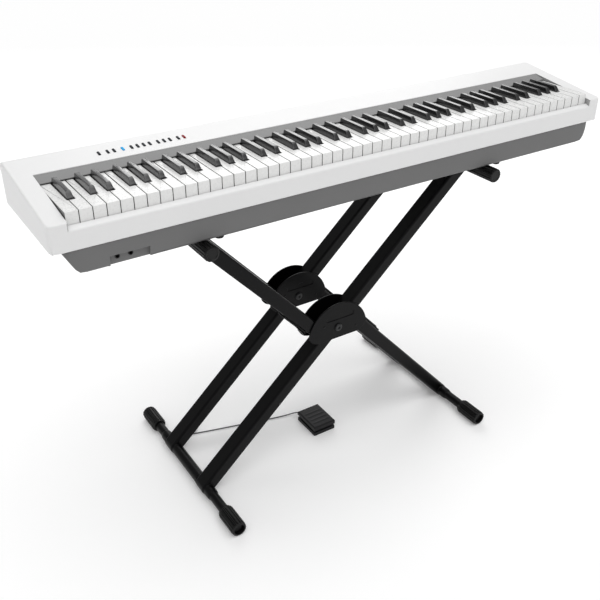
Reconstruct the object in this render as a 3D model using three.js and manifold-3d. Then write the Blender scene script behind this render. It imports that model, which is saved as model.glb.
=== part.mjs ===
// Digital stage piano standing on a folding double-braced X stand, with a sustain pedal on the floor.
// Millimetres, +Z up, X along the keyboard (bass to treble), Y from the player to the back.
// The origin is on the floor under the middle of the stand's feet and the piano's length.
import * as THREE from "three";
import { mergeVertices } from "three/addons/utils/BufferGeometryUtils.js";
import Module from "manifold-3d";

const wasm = await Module();
wasm.setup();

// ---- driving sizes of the stand ----
const restGap = 0.3; // clearance between pieces that touch
const standRise = 632.2; // height between the axes of the foot bars and the top bars
const standSpan = 687; // distance in X between the left and right bars
const pivotX = -30.3; // the stand's pivot sits a little to the bass side
const tubeDepth = 30; // stand tube section in the plane of the X
const tubeWidth = 38; // stand tube section along Y
const tubeWall = 2;
const tubeCorner = 5;
const frontTubeY = -75; // middle planes of the two X frames
const rearTubeY = 90;
const armOffset = 37; // distance from the pivot to the axis line of a folding arm
const armClearance = 8.8; // gap between an arm's inner end and the straight tube
const barRadius = 11;
const saddleRadius = 13.4; // pressed saddle around the foot bars
const saddleOverhang = 25; // saddle length past the outer face of a tube
const footBarLength = 462;
const topBarLength = 372;
const footCapRadius = 17.5;
const footCapLength = 66;
const capFloor = 6; // thickness of a rubber cap's closed end
const sleeveRadius = 15.5;
const plateThickness = 3;
const plateRadius = 79;
const plateDrop = 18; // the plate's arc is centred this far below the pivot
const plateFlat = 28; // the plate's flat lower edge lies this far below the pivot
const plateCornerX = 52; // half length of the flat lower edge
const plateSlot = { width: 73, height: 13, depth: 1.4, up: 26.5, right: 5.5 };
const boltRadius = 8;
const boltHeadRadius = 11;
const boltHeadHeight = 3.5;
const leverLength = 78;
const leverThickness = 5;
const leverWidth = 26;
const leverStart = 62; // along the arm, from the point nearest the pivot

// ---- driving sizes of the piano ----
const keyPitch = 23.5; // one white key and its gap
const whiteKeys = 52;
const keyGap = 1;
const keyHeight = 19.5;
const whiteKeyLength = 139.7;
const blackKeyFront = 47.7; // from the white key fronts
const blackKeyRear = 130;
const blackKeyRise = 11.5; // black key tops above the white ones
const blackKeyFloor = 7;
const blackKeyBase = 11.8;
const blackKeyTop = 8.4;
const blackKeyRake = 7.5; // how far the front face leans back
const blackClearance = 0.9;
const middleC = 23; // number of the white key that starts the playable octave
const cheekWidth = 35.4; // solid end of the case beside the keys
const caseFrontCorner = 12; // radius in plan of the case's two front corners
const caseRearCorner = 24;
const lowerCorner = 22;
const caseFront = -14; // ahead of the key fronts
const caseRear = 255;
const caseBottom = -43.5; // lower edge of the white case, from the underside of the keys
const caseTopDrop = 11.7; // front edge of the sloping top, below the white key tops
const caseWall = 3.5;
const topRise = 31.6; // how much the sloping top climbs before it rounds off
const topRun = 232; // over this depth
const rearRadius = 22;
const railDepth = 13.2; // front rail ahead of the keys
const railTop = -7;
const railTopRear = -2.5;
const wellRear = 157; // rear edge of the key opening
const keySideGap = 0.6;
const wellLip = { y: 130.5, up: 3.7, thickness: 1.8 }; // up is from the white key tops
const lowerFront = -11;
const lowerRear = 250;
const lowerBottom = -89.5;
const lowerInset = 18; // the lower case is narrower than the upper by this on each side
const lowerWall = 3;
const jackRecess = { fromEnd: 79, width: 72, height: 19, depth: 8 };
const jackInset = [15, 39]; // from the recess's outer end
const jackRadius = 4.6;
const buttonY = 185.6;
const buttonPitch = 12.1;
const buttonGroupGap = 17;
const firstButtonInset = 165.2; // from the end of the case
const buttonSize = { width: 4.4, length: 13, proud: 1.6, stem: 9 };
const buttonClearance = 0.35;
const speakerInset = 221; // from the end of the keyboard
const speakerRadius = 52;
const speakerDepth = 30;
const socketX = [150, 185, 220, 255];

// ---- driving sizes of the pedal and its cord ----
const pedal = { x0: -61, x1: 0, front: -52.5, rear: 25.5, base: 9, top: 27, wall: 2.5, gap: 5 };
const pedalHingeZ = 15;
const cordRadius = 1.5;
const coilMeanRadius = 18;
const coilHalfWidth = 4.7;
const coilHeight = 12.7;
const coilCentre = new THREE.Vector2(-314, 140);
const plugHeading = (41.7 * Math.PI) / 180; // the way the plug lying on the coil points
const plugSide = 12.5; // the plug's axis lies this far to the side of the coil's centre
const plugTail = -8; // start of the plug along its heading, from the coil's centre
const plugBody = { radius: 4.6, length: 24 };
const plugPin = { radius: 3.1, length: 30 };
// route of the pedal's cord along the floor to its coil
const cordRoute = [
  [-51, 31.2, 11], [-51, 36, 10.4], [-52.5, 41, 8.8], [-57, 46, 6.4], [-65, 50, 4.2],
  [-76, 53.2, 2.7], [-90, 56.5, 2.1], [-105, 60, 2], [-122, 64.3, 2], [-140, 69.3, 2],
  [-158, 74.3, 2], [-176, 79.2, 2], [-194, 84.1, 2], [-212, 89, 2], [-230, 93.8, 2],
  [-248, 98.6, 2], [-265, 103.4, 2], [-281, 108, 2], [-294, 111.8, 2], [-305, 115, 2],
];

// ---- values worked out from them ----
const footBarZ = footCapRadius;
const topBarZ = footBarZ + standRise;
const pivotZ = (footBarZ + topBarZ) / 2;
const armReach = Math.hypot(standSpan, standRise) / 2; // pivot to a bar's axis
const frameAngle = Math.atan2(standRise, standSpan);
const armLine = Math.sqrt(armReach ** 2 - armOffset ** 2);
const armTurn = Math.asin(armOffset / armReach);
const tubeRadius = tubeDepth / 2;
const keyFrontY = -152;
const keyBottomZ = topBarZ + sleeveRadius + restGap - lowerBottom;
const boardHalf = (whiteKeys * keyPitch) / 2;
const caseHalf = boardHalf + keySideGap + cheekWidth;
const lowerHalfTop = caseHalf - lowerInset;
const caseFrontTop = keyHeight - caseTopDrop;
const blackKeyHeight = keyHeight + blackKeyRise;
const firstButtonX = firstButtonInset - caseHalf;
const speakerX = boardHalf - speakerInset;
const recessX0 = jackRecess.fromEnd - lowerHalfTop;
const recessX1 = recessX0 + jackRecess.width;
const jackX = jackInset.map((inset) => recessX0 + inset);
const topSlope = topRise / topRun;
const boltHole = boltRadius + restGap;
const plateGap = tubeWidth / 2 + restGap;

// ---- mesh helpers ----
function toSolid(geometry) {
  const g = geometry.clone();
  g.deleteAttribute("normal");
  g.deleteAttribute("uv");
  const merged = mergeVertices(g, 1e-4);
  return new wasm.Manifold(
    new wasm.Mesh({
      numProp: 3,
      vertProperties: new Float32Array(merged.attributes.position.array),
      triVerts: new Uint32Array(merged.index.array),
    }),
  );
}

function toGeometry(solid) {
  const mesh = solid.getMesh();
  const geometry = new THREE.BufferGeometry();
  geometry.setAttribute("position", new THREE.BufferAttribute(new Float32Array(mesh.vertProperties), 3));
  geometry.setIndex(new THREE.BufferAttribute(new Uint32Array(mesh.triVerts), 1));
  geometry.computeVertexNormals();
  return geometry;
}

// A flat outline pushed along one axis, from low to high.
// The outline's two coordinates are (y, z) for X, (x, z) for Y and (x, y) for Z.
function prism(axis, outline, low, high) {
  const shape = outline instanceof THREE.Shape
    ? outline
    : new THREE.Shape(outline.map(([u, v]) => new THREE.Vector2(u, v)));
  const geometry = new THREE.ExtrudeGeometry(shape, {
    depth: high - low,
    bevelEnabled: false,
    curveSegments: 6,
  });
  geometry.translate(0, 0, low);
  const turn = new THREE.Matrix4();
  if (axis === "X") {
    turn.makeBasis(new THREE.Vector3(0, 1, 0), new THREE.Vector3(0, 0, 1), new THREE.Vector3(1, 0, 0));
  } else if (axis === "Y") {
    turn.makeBasis(new THREE.Vector3(1, 0, 0), new THREE.Vector3(0, 0, 1), new THREE.Vector3(0, -1, 0));
    geometry.translate(0, 0, -low - high);
  }
  geometry.applyMatrix4(turn);
  return toSolid(geometry);
}

function box(x0, x1, y0, y1, z0, z1) {
  const geometry = new THREE.BoxGeometry(x1 - x0, y1 - y0, z1 - z0);
  geometry.translate((x0 + x1) / 2, (y0 + y1) / 2, (z0 + z1) / 2);
  return toSolid(geometry);
}

// A round rod along Y with a flat at neither end, and one edge line straight down.
function rodY(x, z, radius, y0, y1, sides = 20) {
  const geometry = new THREE.CylinderGeometry(radius, radius, y1 - y0, sides);
  geometry.translate(0, (y0 + y1) / 2, 0);
  geometry.translate(x, 0, z);
  return toSolid(geometry);
}

// A box standing square on a surface that leans back by turn, about the point (x, y, z).
function leaningBox(x, y, z, turn, halfWidth, halfLength, low, high) {
  const geometry = new THREE.BoxGeometry(halfWidth * 2, halfLength * 2, high - low);
  geometry.translate(0, 0, (low + high) / 2);
  geometry.rotateX(turn);
  geometry.translate(x, y, z);
  return toSolid(geometry);
}

function rodZ(x, y, radius, z0, z1, sides = 20) {
  const geometry = new THREE.CylinderGeometry(radius, radius, z1 - z0, sides);
  geometry.rotateX(Math.PI / 2);
  geometry.translate(x, y, (z0 + z1) / 2);
  return toSolid(geometry);
}

function joined(first, ...others) {
  return others.reduce((sum, piece) => sum.add(piece), first);
}

const piano = new THREE.Group();
piano.position.set(0, keyFrontY, keyBottomZ);
const stand = new THREE.Group();
stand.position.set(pivotX, 0, pivotZ);
const floor = new THREE.Group();
const model = new THREE.Group();
model.add(piano, stand, floor);

const finishes = {
  white_case: { color: 0xf4f4f2, roughness: 0.45, metalness: 0 },
  grey_case: { color: 0x707070, roughness: 0.6, metalness: 0 },
  ivory_key: { color: 0xf7f6f2, roughness: 0.35, metalness: 0 },
  ebony_key: { color: 0x1c1c1e, roughness: 0.5, metalness: 0 },
  black_steel: { color: 0x16161a, roughness: 0.45, metalness: 0.3 },
  black_rubber: { color: 0x121212, roughness: 0.85, metalness: 0 },
  zinc_steel: { color: 0x8d9094, roughness: 0.4, metalness: 0.9 },
  circuit_green: { color: 0x1f5c37, roughness: 0.5, metalness: 0 },
  button_black: { color: 0x15202c, roughness: 0.5, metalness: 0 },
  button_cyan: { color: 0x00aeef, roughness: 0.4, metalness: 0 },
  button_red: { color: 0xa01820, roughness: 0.4, metalness: 0 },
  cord_grey: { color: 0x3a3a3c, roughness: 0.7, metalness: 0 },
};

function addPart(group, name, solid, finish) {
  const material = new THREE.MeshStandardMaterial(finishes[finish]);
  const geometry = solid instanceof THREE.BufferGeometry ? solid : toGeometry(solid);
  const mesh = new THREE.Mesh(geometry, material);
  mesh.name = name;
  group.add(mesh);
  return mesh;
}

// ---- stand: places along a frame member ----
// A point of the X: s along a line at the given angle, o to its left.
function onLine(angle, s, o) {
  return [s * Math.cos(angle) - o * Math.sin(angle), s * Math.sin(angle) + o * Math.cos(angle)];
}

// A straight member's outline with both ends round or square.
function memberOutline(angle, start, end, offset, half, roundStart, roundEnd) {
  const points = [];
  const steps = 6;
  const cap = (s, from) => {
    for (let i = 0; i <= steps; i += 1) {
      const turn = from + (Math.PI * i) / steps;
      points.push(onLine(angle, s + half * Math.cos(turn), offset + half * Math.sin(turn)));
    }
  };
  if (roundEnd) {
    cap(end, -Math.PI / 2);
  } else {
    points.push(onLine(angle, end, offset - half), onLine(angle, end, offset + half));
  }
  if (roundStart) {
    cap(start, Math.PI / 2);
  } else {
    points.push(onLine(angle, start, offset + half), onLine(angle, start, offset - half));
  }
  return points;
}

const barX = standSpan / 2;
const barZ = standRise / 2;
const hollowHalf = tubeWidth / 2 - tubeWall;
const hollowEnd = tubeRadius + 8; // where a tube's hollow starts, from the bar's axis

// Long straight tube of the fixed frame, from the left foot bar to the right top bar.
function fixedTube(middleY) {
  const outer = prism("Y", memberOutline(frameAngle, -armReach, armReach, 0, tubeRadius, true, true),
    middleY - tubeWidth / 2, middleY + tubeWidth / 2);
  const inner = prism("Y", memberOutline(frameAngle, hollowEnd - armReach, armReach - hollowEnd, 0,
    tubeRadius - tubeWall, false, false), middleY - hollowHalf, middleY + hollowHalf);
  return outer
    .subtract(inner)
    .subtract(rodY(-barX, -barZ, barRadius + restGap, middleY - tubeWidth, middleY + tubeWidth))
    .subtract(rodY(barX, barZ, barRadius + restGap, middleY - tubeWidth, middleY + tubeWidth))
    .subtract(rodY(0, 0, boltHole, middleY - tubeWidth, middleY + tubeWidth, 24));
}

// Tube of the folding frame, from a bar to the plates; side is +1 for the upper arm and -1 for the lower leg.
const armAngle = Math.PI - frameAngle - armTurn;
function foldingTube(middleY, side) {
  const angle = side > 0 ? armAngle : armAngle + Math.PI;
  const meeting = armAngle - frameAngle;
  const armEdge = armOffset + tubeRadius;
  const armInset = (tubeRadius + armClearance - Math.cos(meeting) * armEdge) / Math.sin(meeting);
  const along = [armInset, armLine];
  const outer = prism("Y", memberOutline(angle, along[0], along[1], armOffset, tubeRadius, false, true),
    middleY - tubeWidth / 2, middleY + tubeWidth / 2);
  const inner = prism("Y", memberOutline(angle, along[0] - 5, along[1] - hollowEnd, armOffset,
    tubeRadius - tubeWall, false, false), middleY - hollowHalf, middleY + hollowHalf);
  return outer
    .subtract(inner)
    .subtract(rodY(-side * barX, side * barZ, barRadius + restGap, middleY - tubeWidth, middleY + tubeWidth));
}

// Half-moon hinge plate.
function hingePlate(y0, y1, slotted) {
  const shape = new THREE.Shape();
  const sideZ = -6;
  const sideX = Math.sqrt(plateRadius ** 2 - (sideZ + plateDrop) ** 2);
  const start = Math.atan2(sideZ + plateDrop, sideX);
  shape.moveTo(-plateCornerX, -plateFlat);
  shape.lineTo(plateCornerX, -plateFlat);
  shape.quadraticCurveTo(sideX - 6, -plateFlat + 4, sideX, sideZ);
  shape.absarc(0, -plateDrop, plateRadius, start, Math.PI - start, false);
  shape.quadraticCurveTo(-sideX + 6, -plateFlat + 4, -plateCornerX, -plateFlat);
  const plate = prism("Y", shape, y0, y1).subtract(rodY(0, 0, boltHole, y0 - 1, y1 + 1, 24));
  if (!slotted) {
    return plate;
  }
  const slotLeft = plateSlot.right - plateSlot.width / 2;
  const slotRight = slotLeft + plateSlot.width;
  const slotLow = plateSlot.up - plateSlot.height / 2;
  const slotHigh = slotLow + plateSlot.height;
  return plate.subtract(box(slotLeft, slotRight, y0 - 1, y0 + plateSlot.depth, slotLow, slotHigh));
}

// Shouldered pivot bolt with its nut.
function pivotBolt(middleY) {
  const face = plateGap + plateThickness + restGap;
  return joined(
    rodY(0, 0, boltRadius, middleY - face - 1, middleY + face + 1, 24),
    rodY(0, 0, boltHeadRadius, middleY - face - boltHeadHeight, middleY - face, 18),
    rodY(0, 0, boltHeadRadius, middleY + face, middleY + face + boltHeadHeight, 6),
  );
}

// Foot bar with the pressed saddle that stiffens it beside the tubes.
function footBar(x, z) {
  const clear = tubeWidth / 2 + restGap;
  const saddle = (y0, y1) => rodY(x, z, saddleRadius, y0, y1);
  return joined(
    rodY(x, z, barRadius, -footBarLength / 2, footBarLength / 2),
    saddle(frontTubeY + clear, rearTubeY - clear),
    saddle(frontTubeY - clear - saddleOverhang, frontTubeY - clear),
    saddle(rearTubeY + clear, rearTubeY + clear + saddleOverhang),
  );
}

// Top bar with the rubber sleeve that the piano rests on at each end.
function topBar(x, z) {
  const clear = tubeWidth / 2 + plateThickness + restGap * 2;
  return joined(
    rodY(x, z, barRadius, -topBarLength / 2, topBarLength / 2),
    rodY(x, z, sleeveRadius, -topBarLength / 2 - 1, frontTubeY - clear),
    rodY(x, z, sleeveRadius, rearTubeY + clear, topBarLength / 2 + 1),
  );
}

// Rubber foot cap, open towards the bar.
function footCap(x, z, end) {
  const outer = end * (footBarLength / 2 + capFloor);
  const mouth = outer - end * footCapLength;
  const low = Math.min(outer, mouth);
  const high = Math.max(outer, mouth);
  const seat = end * (footBarLength / 2 + restGap);
  const bore = rodY(x, z, barRadius + restGap, Math.min(seat, mouth - end), Math.max(seat, mouth - end));
  return rodY(x, z, footCapRadius, low, high, 24).subtract(bore);
}

const frames = [["front", frontTubeY], ["rear", rearTubeY]];
for (const [place, y] of frames) {
  addPart(stand, `fixed_tube_${place}`, fixedTube(y), "black_steel");
  addPart(stand, `folding_arm_${place}`, foldingTube(y, 1), "black_steel");
  addPart(stand, `folding_leg_${place}`, foldingTube(y, -1), "black_steel");
  const nearPlate = hingePlate(y - plateGap - plateThickness, y - plateGap, true);
  const farPlate = hingePlate(y + plateGap, y + plateGap + plateThickness, false);
  addPart(stand, `hinge_plate_${place}_outer`, nearPlate, "black_steel");
  addPart(stand, `hinge_plate_${place}_inner`, farPlate, "black_steel");
  addPart(stand, `pivot_bolt_${place}`, pivotBolt(y), "black_steel");
}
addPart(stand, "foot_bar_left", footBar(-barX, -barZ), "black_steel");
addPart(stand, "foot_bar_right", footBar(barX, -barZ), "black_steel");
addPart(stand, "top_bar_left", topBar(-barX, barZ), "black_rubber");
addPart(stand, "top_bar_right", topBar(barX, barZ), "black_rubber");
for (const [place, x] of [["left", -barX], ["right", barX]]) {
  addPart(stand, `foot_cap_${place}_front`, footCap(x, -barZ, -1), "black_rubber");
  addPart(stand, `foot_cap_${place}_rear`, footCap(x, -barZ, 1), "black_rubber");
}

// Squeeze lever of the fold lock, under the front upper arm.
const leverInner = armOffset + tubeRadius + restGap;
const leverOutline = [
  onLine(armAngle, leverStart, leverInner),
  onLine(armAngle, leverStart + leverLength, leverInner),
  onLine(armAngle, leverStart + leverLength, leverInner + leverThickness),
  onLine(armAngle, leverStart + 6, leverInner + leverThickness),
  onLine(armAngle, leverStart - 4, leverInner + leverThickness + 5),
  onLine(armAngle, leverStart - 7, leverInner + leverThickness + 2),
];
const leverFront = frontTubeY - leverWidth / 2;
addPart(stand, "lock_lever", prism("Y", leverOutline, leverFront, leverFront + leverWidth), "black_steel");

// ---- piano: the white upper case ----
const topAt = (y) => caseFrontTop + (y - caseFront) * topSlope;

// Side profile of the case, shrunk inwards by inset and reaching down to floorZ. The rear face runs up from
// the floor and touches the rear arc.
function caseProfile(inset, floorZ) {
  const shape = new THREE.Shape();
  const r = rearRadius - inset;
  const endY = caseFront + topRun;
  const centre = [endY + rearRadius * Math.sin(Math.atan(topSlope)),
    topAt(endY) - rearRadius * Math.cos(Math.atan(topSlope))];
  const foot = [caseRear - inset - centre[0], floorZ - centre[1]];
  const lean = Math.atan2(foot[1], foot[0]) + Math.acos(r / Math.hypot(foot[0], foot[1]));
  shape.moveTo(caseFront + inset, floorZ);
  shape.lineTo(caseRear - inset, floorZ);
  shape.absarc(centre[0], centre[1], r, lean, Math.PI / 2 + Math.atan(topSlope), false);
  shape.lineTo(caseFront + inset, topAt(caseFront + inset) - inset);
  return shape;
}

// Plan outline with round corners.
function planOutline(half, front, rear, frontCorner, rearCorner) {
  const shape = new THREE.Shape();
  shape.moveTo(-half + frontCorner, front);
  shape.lineTo(half - frontCorner, front);
  shape.absarc(half - frontCorner, front + frontCorner, frontCorner, -Math.PI / 2, 0, false);
  shape.absarc(half - rearCorner, rear - rearCorner, rearCorner, 0, Math.PI / 2, false);
  shape.absarc(-half + rearCorner, rear - rearCorner, rearCorner, Math.PI / 2, Math.PI, false);
  shape.absarc(-half + frontCorner, front + frontCorner, frontCorner, Math.PI, Math.PI * 1.5, false);
  return shape;
}

function caseBody(inset, floorZ) {
  const plan = planOutline(caseHalf - inset, caseFront + inset, caseRear - inset,
    caseFrontCorner - inset, caseRearCorner - inset);
  return prism("X", caseProfile(inset, floorZ), -caseHalf + inset, caseHalf - inset)
    .intersect(prism("Z", plan, floorZ - 1, 80));
}

const wellHalf = boardHalf + keySideGap;
const wellFront = caseFront + railDepth;
const railCut = [
  [caseFront - 6, railTop - 2], [caseFront, railTop], [wellFront, railTopRear],
  [wellFront + 1, railTopRear], [wellFront + 1, 60], [caseFront - 6, 60],
];
const hollow = caseBody(caseWall, caseBottom - 5)
  .subtract(box(-wellHalf - caseWall, wellHalf + caseWall, caseFront - 1, wellRear + caseWall,
    caseBottom - 9, 70));

const panelTurn = Math.atan(topSlope);
const buttonGroups = [1, 2, 1, 4, 3, 2];
const buttonCentres = [];
let nextButton = firstButtonX;
for (const count of buttonGroups) {
  for (let i = 0; i < count; i += 1) {
    buttonCentres.push(nextButton);
    nextButton += i < count - 1 ? buttonPitch : buttonGroupGap;
  }
}

let upperCase = caseBody(0, caseBottom)
  .subtract(hollow)
  .subtract(box(-wellHalf, wellHalf, wellFront, wellRear, caseBottom - 5, 70))
  .subtract(box(-boardHalf + 8, boardHalf - 8, wellRear - 1, wellRear + caseWall + 1, caseBottom - 5, 10))
  .subtract(prism("X", railCut, -wellHalf, wellHalf));
const buttonHole = buttonSize.width / 2 + buttonClearance;
const buttonSlot = buttonSize.length / 2 + buttonClearance;
for (const x of buttonCentres) {
  upperCase = upperCase.subtract(
    leaningBox(x, buttonY, topAt(buttonY), panelTurn, buttonHole, buttonSlot, -6, 6),
  );
}
const socketCut = { z0: -33, z1: -12 };
upperCase = upperCase.subtract(
  box(socketX[0] - 16, socketX[3] + 16, caseRear - 20, caseRear + 5, socketCut.z0, socketCut.z1),
);
addPart(piano, "upper_case", upperCase, "white_case");

// ---- piano: the thirteen panel buttons, each on a stem through its slot ----
buttonCentres.forEach((x, index) => {
  const z = topAt(buttonY);
  const halfWidth = buttonSize.width / 2;
  const halfLength = buttonSize.length / 2;
  const cap = leaningBox(x, buttonY, z, panelTurn, halfWidth, halfLength, -buttonSize.stem, buttonSize.proud);
  const flange = leaningBox(x, buttonY, z, panelTurn, halfWidth + 0.8, halfLength + 1.5, -buttonSize.stem,
    -buttonSize.stem + 1.5);
  const litFinishes = { 3: "button_cyan", 12: "button_red" };
  const finish = litFinishes[index] ?? "button_black";
  addPart(piano, `panel_button_${String(index + 1).padStart(2, "0")}`, cap.add(flange), finish);
});

// ---- piano: grey liner behind the keys ----
const lip = wellLip;
const lipZ = keyHeight + lip.up;
const linerProfile = [
  [lip.y, lipZ], [lip.y, lipZ - lip.thickness], [wellRear - 4, topAt(wellRear) - 5.5],
  [wellRear - 2.5, 16], [wellRear - restGap, 16], [wellRear - restGap, topAt(wellRear) - 1],
];
const linerHalf = wellHalf - restGap;
addPart(piano, "key_well_liner", prism("X", linerProfile, -linerHalf, linerHalf), "grey_case");

// ---- piano: the grey lower case, an open tub with the headphone recess ----
const lowerTop = caseBottom - restGap;
function lowerBody(inset, top) {
  const half = lowerHalfTop - inset;
  const bottom = lowerBottom + inset;
  const front = [
    [half, top], [half - 19, bottom + 11], [half - 26, bottom + 3.5], [half - 38, bottom],
  ];
  const outline = [...front, ...front.map(([x, z]) => [-x, z]).reverse()].reverse();
  const side = [
    [lowerFront + inset, top], [lowerFront + inset, bottom + 4], [lowerFront + inset + 4, bottom],
    [lowerRear - inset - 14, bottom], [lowerRear - inset, bottom + 16], [lowerRear - inset, top],
  ];
  const corner = lowerCorner - inset;
  const plan = planOutline(half, lowerFront + inset, lowerRear - inset, corner, corner);
  return prism("Y", outline, lowerFront - 1, lowerRear + 1)
    .intersect(prism("X", side, -half - 1, half + 1))
    .intersect(prism("Z", plan, lowerBottom - 1, top + 1));
}
const recess = jackRecess;
let lowerCase = lowerBody(0, lowerTop).subtract(lowerBody(lowerWall, lowerTop + 5));
lowerCase = lowerCase.add(box(recessX0 - 3, recessX1 + 3, lowerFront + 1, lowerFront + recess.depth + 3,
  lowerBottom + 1, lowerBottom + recess.height + 3));
lowerCase = lowerCase.subtract(box(recessX0, recessX1, lowerFront - 5, lowerFront + recess.depth,
  lowerBottom - 5, lowerBottom + recess.height));
for (const x of jackX) {
  lowerCase = lowerCase.subtract(rodY(x, lowerBottom + 13, jackRadius, lowerFront, lowerFront + 16, 16));
}
for (const side of [-1, 1]) {
  for (let i = -3; i <= 3; i += 1) {
    const x = side * speakerX + i * 14;
    lowerCase = lowerCase.subtract(box(x - 3, x + 3, 70, 150, lowerBottom - 2, lowerBottom + lowerWall + 1));
  }
}
addPart(piano, "lower_case", lowerCase, "grey_case");

// ---- piano: what the case holds ----
const bedTop = -9;
addPart(piano, "keybed", box(-boardHalf + 4, boardHalf - 4, 6, 150, bedTop - 26, bedTop - 24)
  .add(box(-boardHalf + 4, boardHalf - 4, 6, 9, bedTop - 25, bedTop - 15))
  .add(box(-boardHalf + 4, boardHalf - 4, 147, 150, bedTop - 25, bedTop)), "zinc_steel");
for (const [place, side] of [["left", -1], ["right", 1]]) {
  const z = lowerBottom + lowerWall + restGap;
  addPart(piano, `speaker_${place}`, joined(
    rodZ(side * speakerX, 110, speakerRadius, z, z + 4, 24),
    rodZ(side * speakerX, 110, speakerRadius * 0.6, z + 3, z + 18, 20),
    rodZ(side * speakerX, 110, speakerRadius * 0.42, z + 17, z + speakerDepth, 20),
  ), "black_steel");
}
const boardZ = socketCut.z0 - 3;
const socketFace = caseRear - 11.5;
const socketTop = socketCut.z1 - 1;
const sockets = socketX.map((x) => box(x - 9, x + 9, socketFace - 24, socketFace, boardZ + 1.5, socketTop)
  .subtract(rodY(x, boardZ + 14, 3.4, socketFace - 15, socketFace + 1, 14)));
const boardFront = socketFace - 56;
const board = box(socketX[0] - 40, socketX[3] + 40, boardFront, socketFace - 1, boardZ, boardZ + 2);
addPart(piano, "main_board", joined(board, ...sockets), "circuit_green");

// ---- piano: keys ----
const keyLeft = (index) => -boardHalf + index * keyPitch;
const semitones = "C_D_EF_G_A_B";
const sharpOffset = { C: -3, D: 3, F: -4, G: 0, A: 4 };
const sharpNames = { C: "c_sharp", D: "d_sharp", F: "f_sharp", G: "g_sharp", A: "a_sharp" };
const naturals = [...semitones].filter((letter) => letter !== "_");
const noteOf = (index) => naturals[(index + 5) % 7];

// Front outline of a black key: narrower at the top than at the base.
function blackKey(x, y0, y1) {
  const front = [
    [-blackKeyBase / 2, blackKeyFloor], [blackKeyBase / 2, blackKeyFloor], [blackKeyBase / 2, keyHeight],
    [blackKeyTop / 2, blackKeyHeight], [-blackKeyTop / 2, blackKeyHeight], [-blackKeyBase / 2, keyHeight],
  ].map(([u, z]) => [u + x, z]);
  const side = [
    [y0, blackKeyFloor], [y1, blackKeyFloor], [y1, blackKeyHeight], [y0 + blackKeyRake, blackKeyHeight],
    [y0, keyHeight],
  ];
  return prism("Y", front, y0 - 1, y1 + 1).intersect(prism("X", side, x - 20, x + 20));
}

const octaveEnd = middleC + 7;
const fixedKeys = [];
const fixedSharps = [];
for (let index = 0; index < whiteKeys; index += 1) {
  const x0 = keyLeft(index) + keyGap / 2;
  const x1 = keyLeft(index + 1) - keyGap / 2;
  const letter = noteOf(index);
  const inOctave = index >= middleC && index < octaveEnd;
  const sharpX = keyLeft(index + 1) + (sharpOffset[letter] ?? 0);
  const hasSharp = letter in sharpOffset && index < whiteKeys - 1;
  if (!inOctave) {
    fixedKeys.push(box(x0, x1, 0, whiteKeyLength, 0, keyHeight));
    if (hasSharp) {
      fixedSharps.push(sharpX);
    }
    continue;
  }
  let key = box(x0, x1, 0, whiteKeyLength, 0, keyHeight);
  const cut = blackKeyBase / 2 + blackClearance;
  const notchFront = blackKeyFront - blackClearance - 0.4;
  for (const neighbour of [index - 1, index]) {
    const other = noteOf(neighbour);
    if (other in sharpOffset) {
      const x = keyLeft(neighbour + 1) + sharpOffset[other];
      key = key.subtract(box(x - cut, x + cut, notchFront, whiteKeyLength + 1, -1, 40));
    }
  }
  addPart(piano, `white_key_${letter.toLowerCase()}4`, key, "ivory_key");
  if (hasSharp) {
    const sharp = blackKey(sharpX, blackKeyFront, blackKeyRear);
    addPart(piano, `black_key_${sharpNames[letter]}4`, sharp, "ebony_key");
  }
}
const railY = whiteKeyLength + 1;
const whiteRail = box(keyLeft(0) + 2, keyLeft(whiteKeys) - 2, railY, railY + 6, 0, 11);
const webs = [[keyLeft(0) + 2, keyLeft(middleC) - 2], [keyLeft(octaveEnd) + 2, keyLeft(whiteKeys) - 2]]
  .map(([x0, x1]) => box(x0, x1, 12, railY + 1, 0.5, 4));
addPart(piano, "white_keys_fixed", joined(whiteRail, ...webs, ...fixedKeys), "ivory_key");

const sharpFloor = keyHeight + restGap;
const sharpRailY = railY + 7;
const linkTop = sharpFloor + 1.3;
const sharpRail = box(keyLeft(0) + 10, keyLeft(whiteKeys) - 30, sharpRailY, sharpRailY + 5, 12, linkTop);
const sharpKeys = fixedSharps.map((x) => blackKey(x, blackKeyFront, blackKeyRear)
  .subtract(box(x - 10, x + 10, blackKeyFront - 1, blackKeyRear + 1, 0, sharpFloor))
  .add(box(x - 4, x + 4, blackKeyRear - 2, sharpRailY + 1, sharpFloor, linkTop)));
addPart(piano, "black_keys_fixed", joined(sharpRail, ...sharpKeys), "ebony_key");

// ---- pedal ----
const p = pedal;
const base = joined(
  box(p.x0, p.x1, p.front, p.rear, 0, p.base),
  box(p.x0 + 8, p.x1 - 8, p.rear - 9, p.rear - p.wall - 0.5, p.base - 1, pedalHingeZ + 4),
  rodY(-51, 11, 3.6, p.rear - 4, p.rear + 5.3, 14),
);
addPart(floor, "pedal_base", base, "black_rubber");
const treadOutline = [
  [p.front, p.base + p.gap], [p.front, p.top - 3], [p.front + 4, p.top], [p.rear, p.top], [p.rear, 16.5],
  [p.rear - 5, 16.5],
];
const tread = prism("X", treadOutline, p.x0, p.x1)
  .subtract(box(p.x0 + p.wall, p.x1 - p.wall, p.front + p.wall, p.rear - p.wall, -1, p.top - 3));
addPart(floor, "pedal_tread", tread, "black_rubber");

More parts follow.
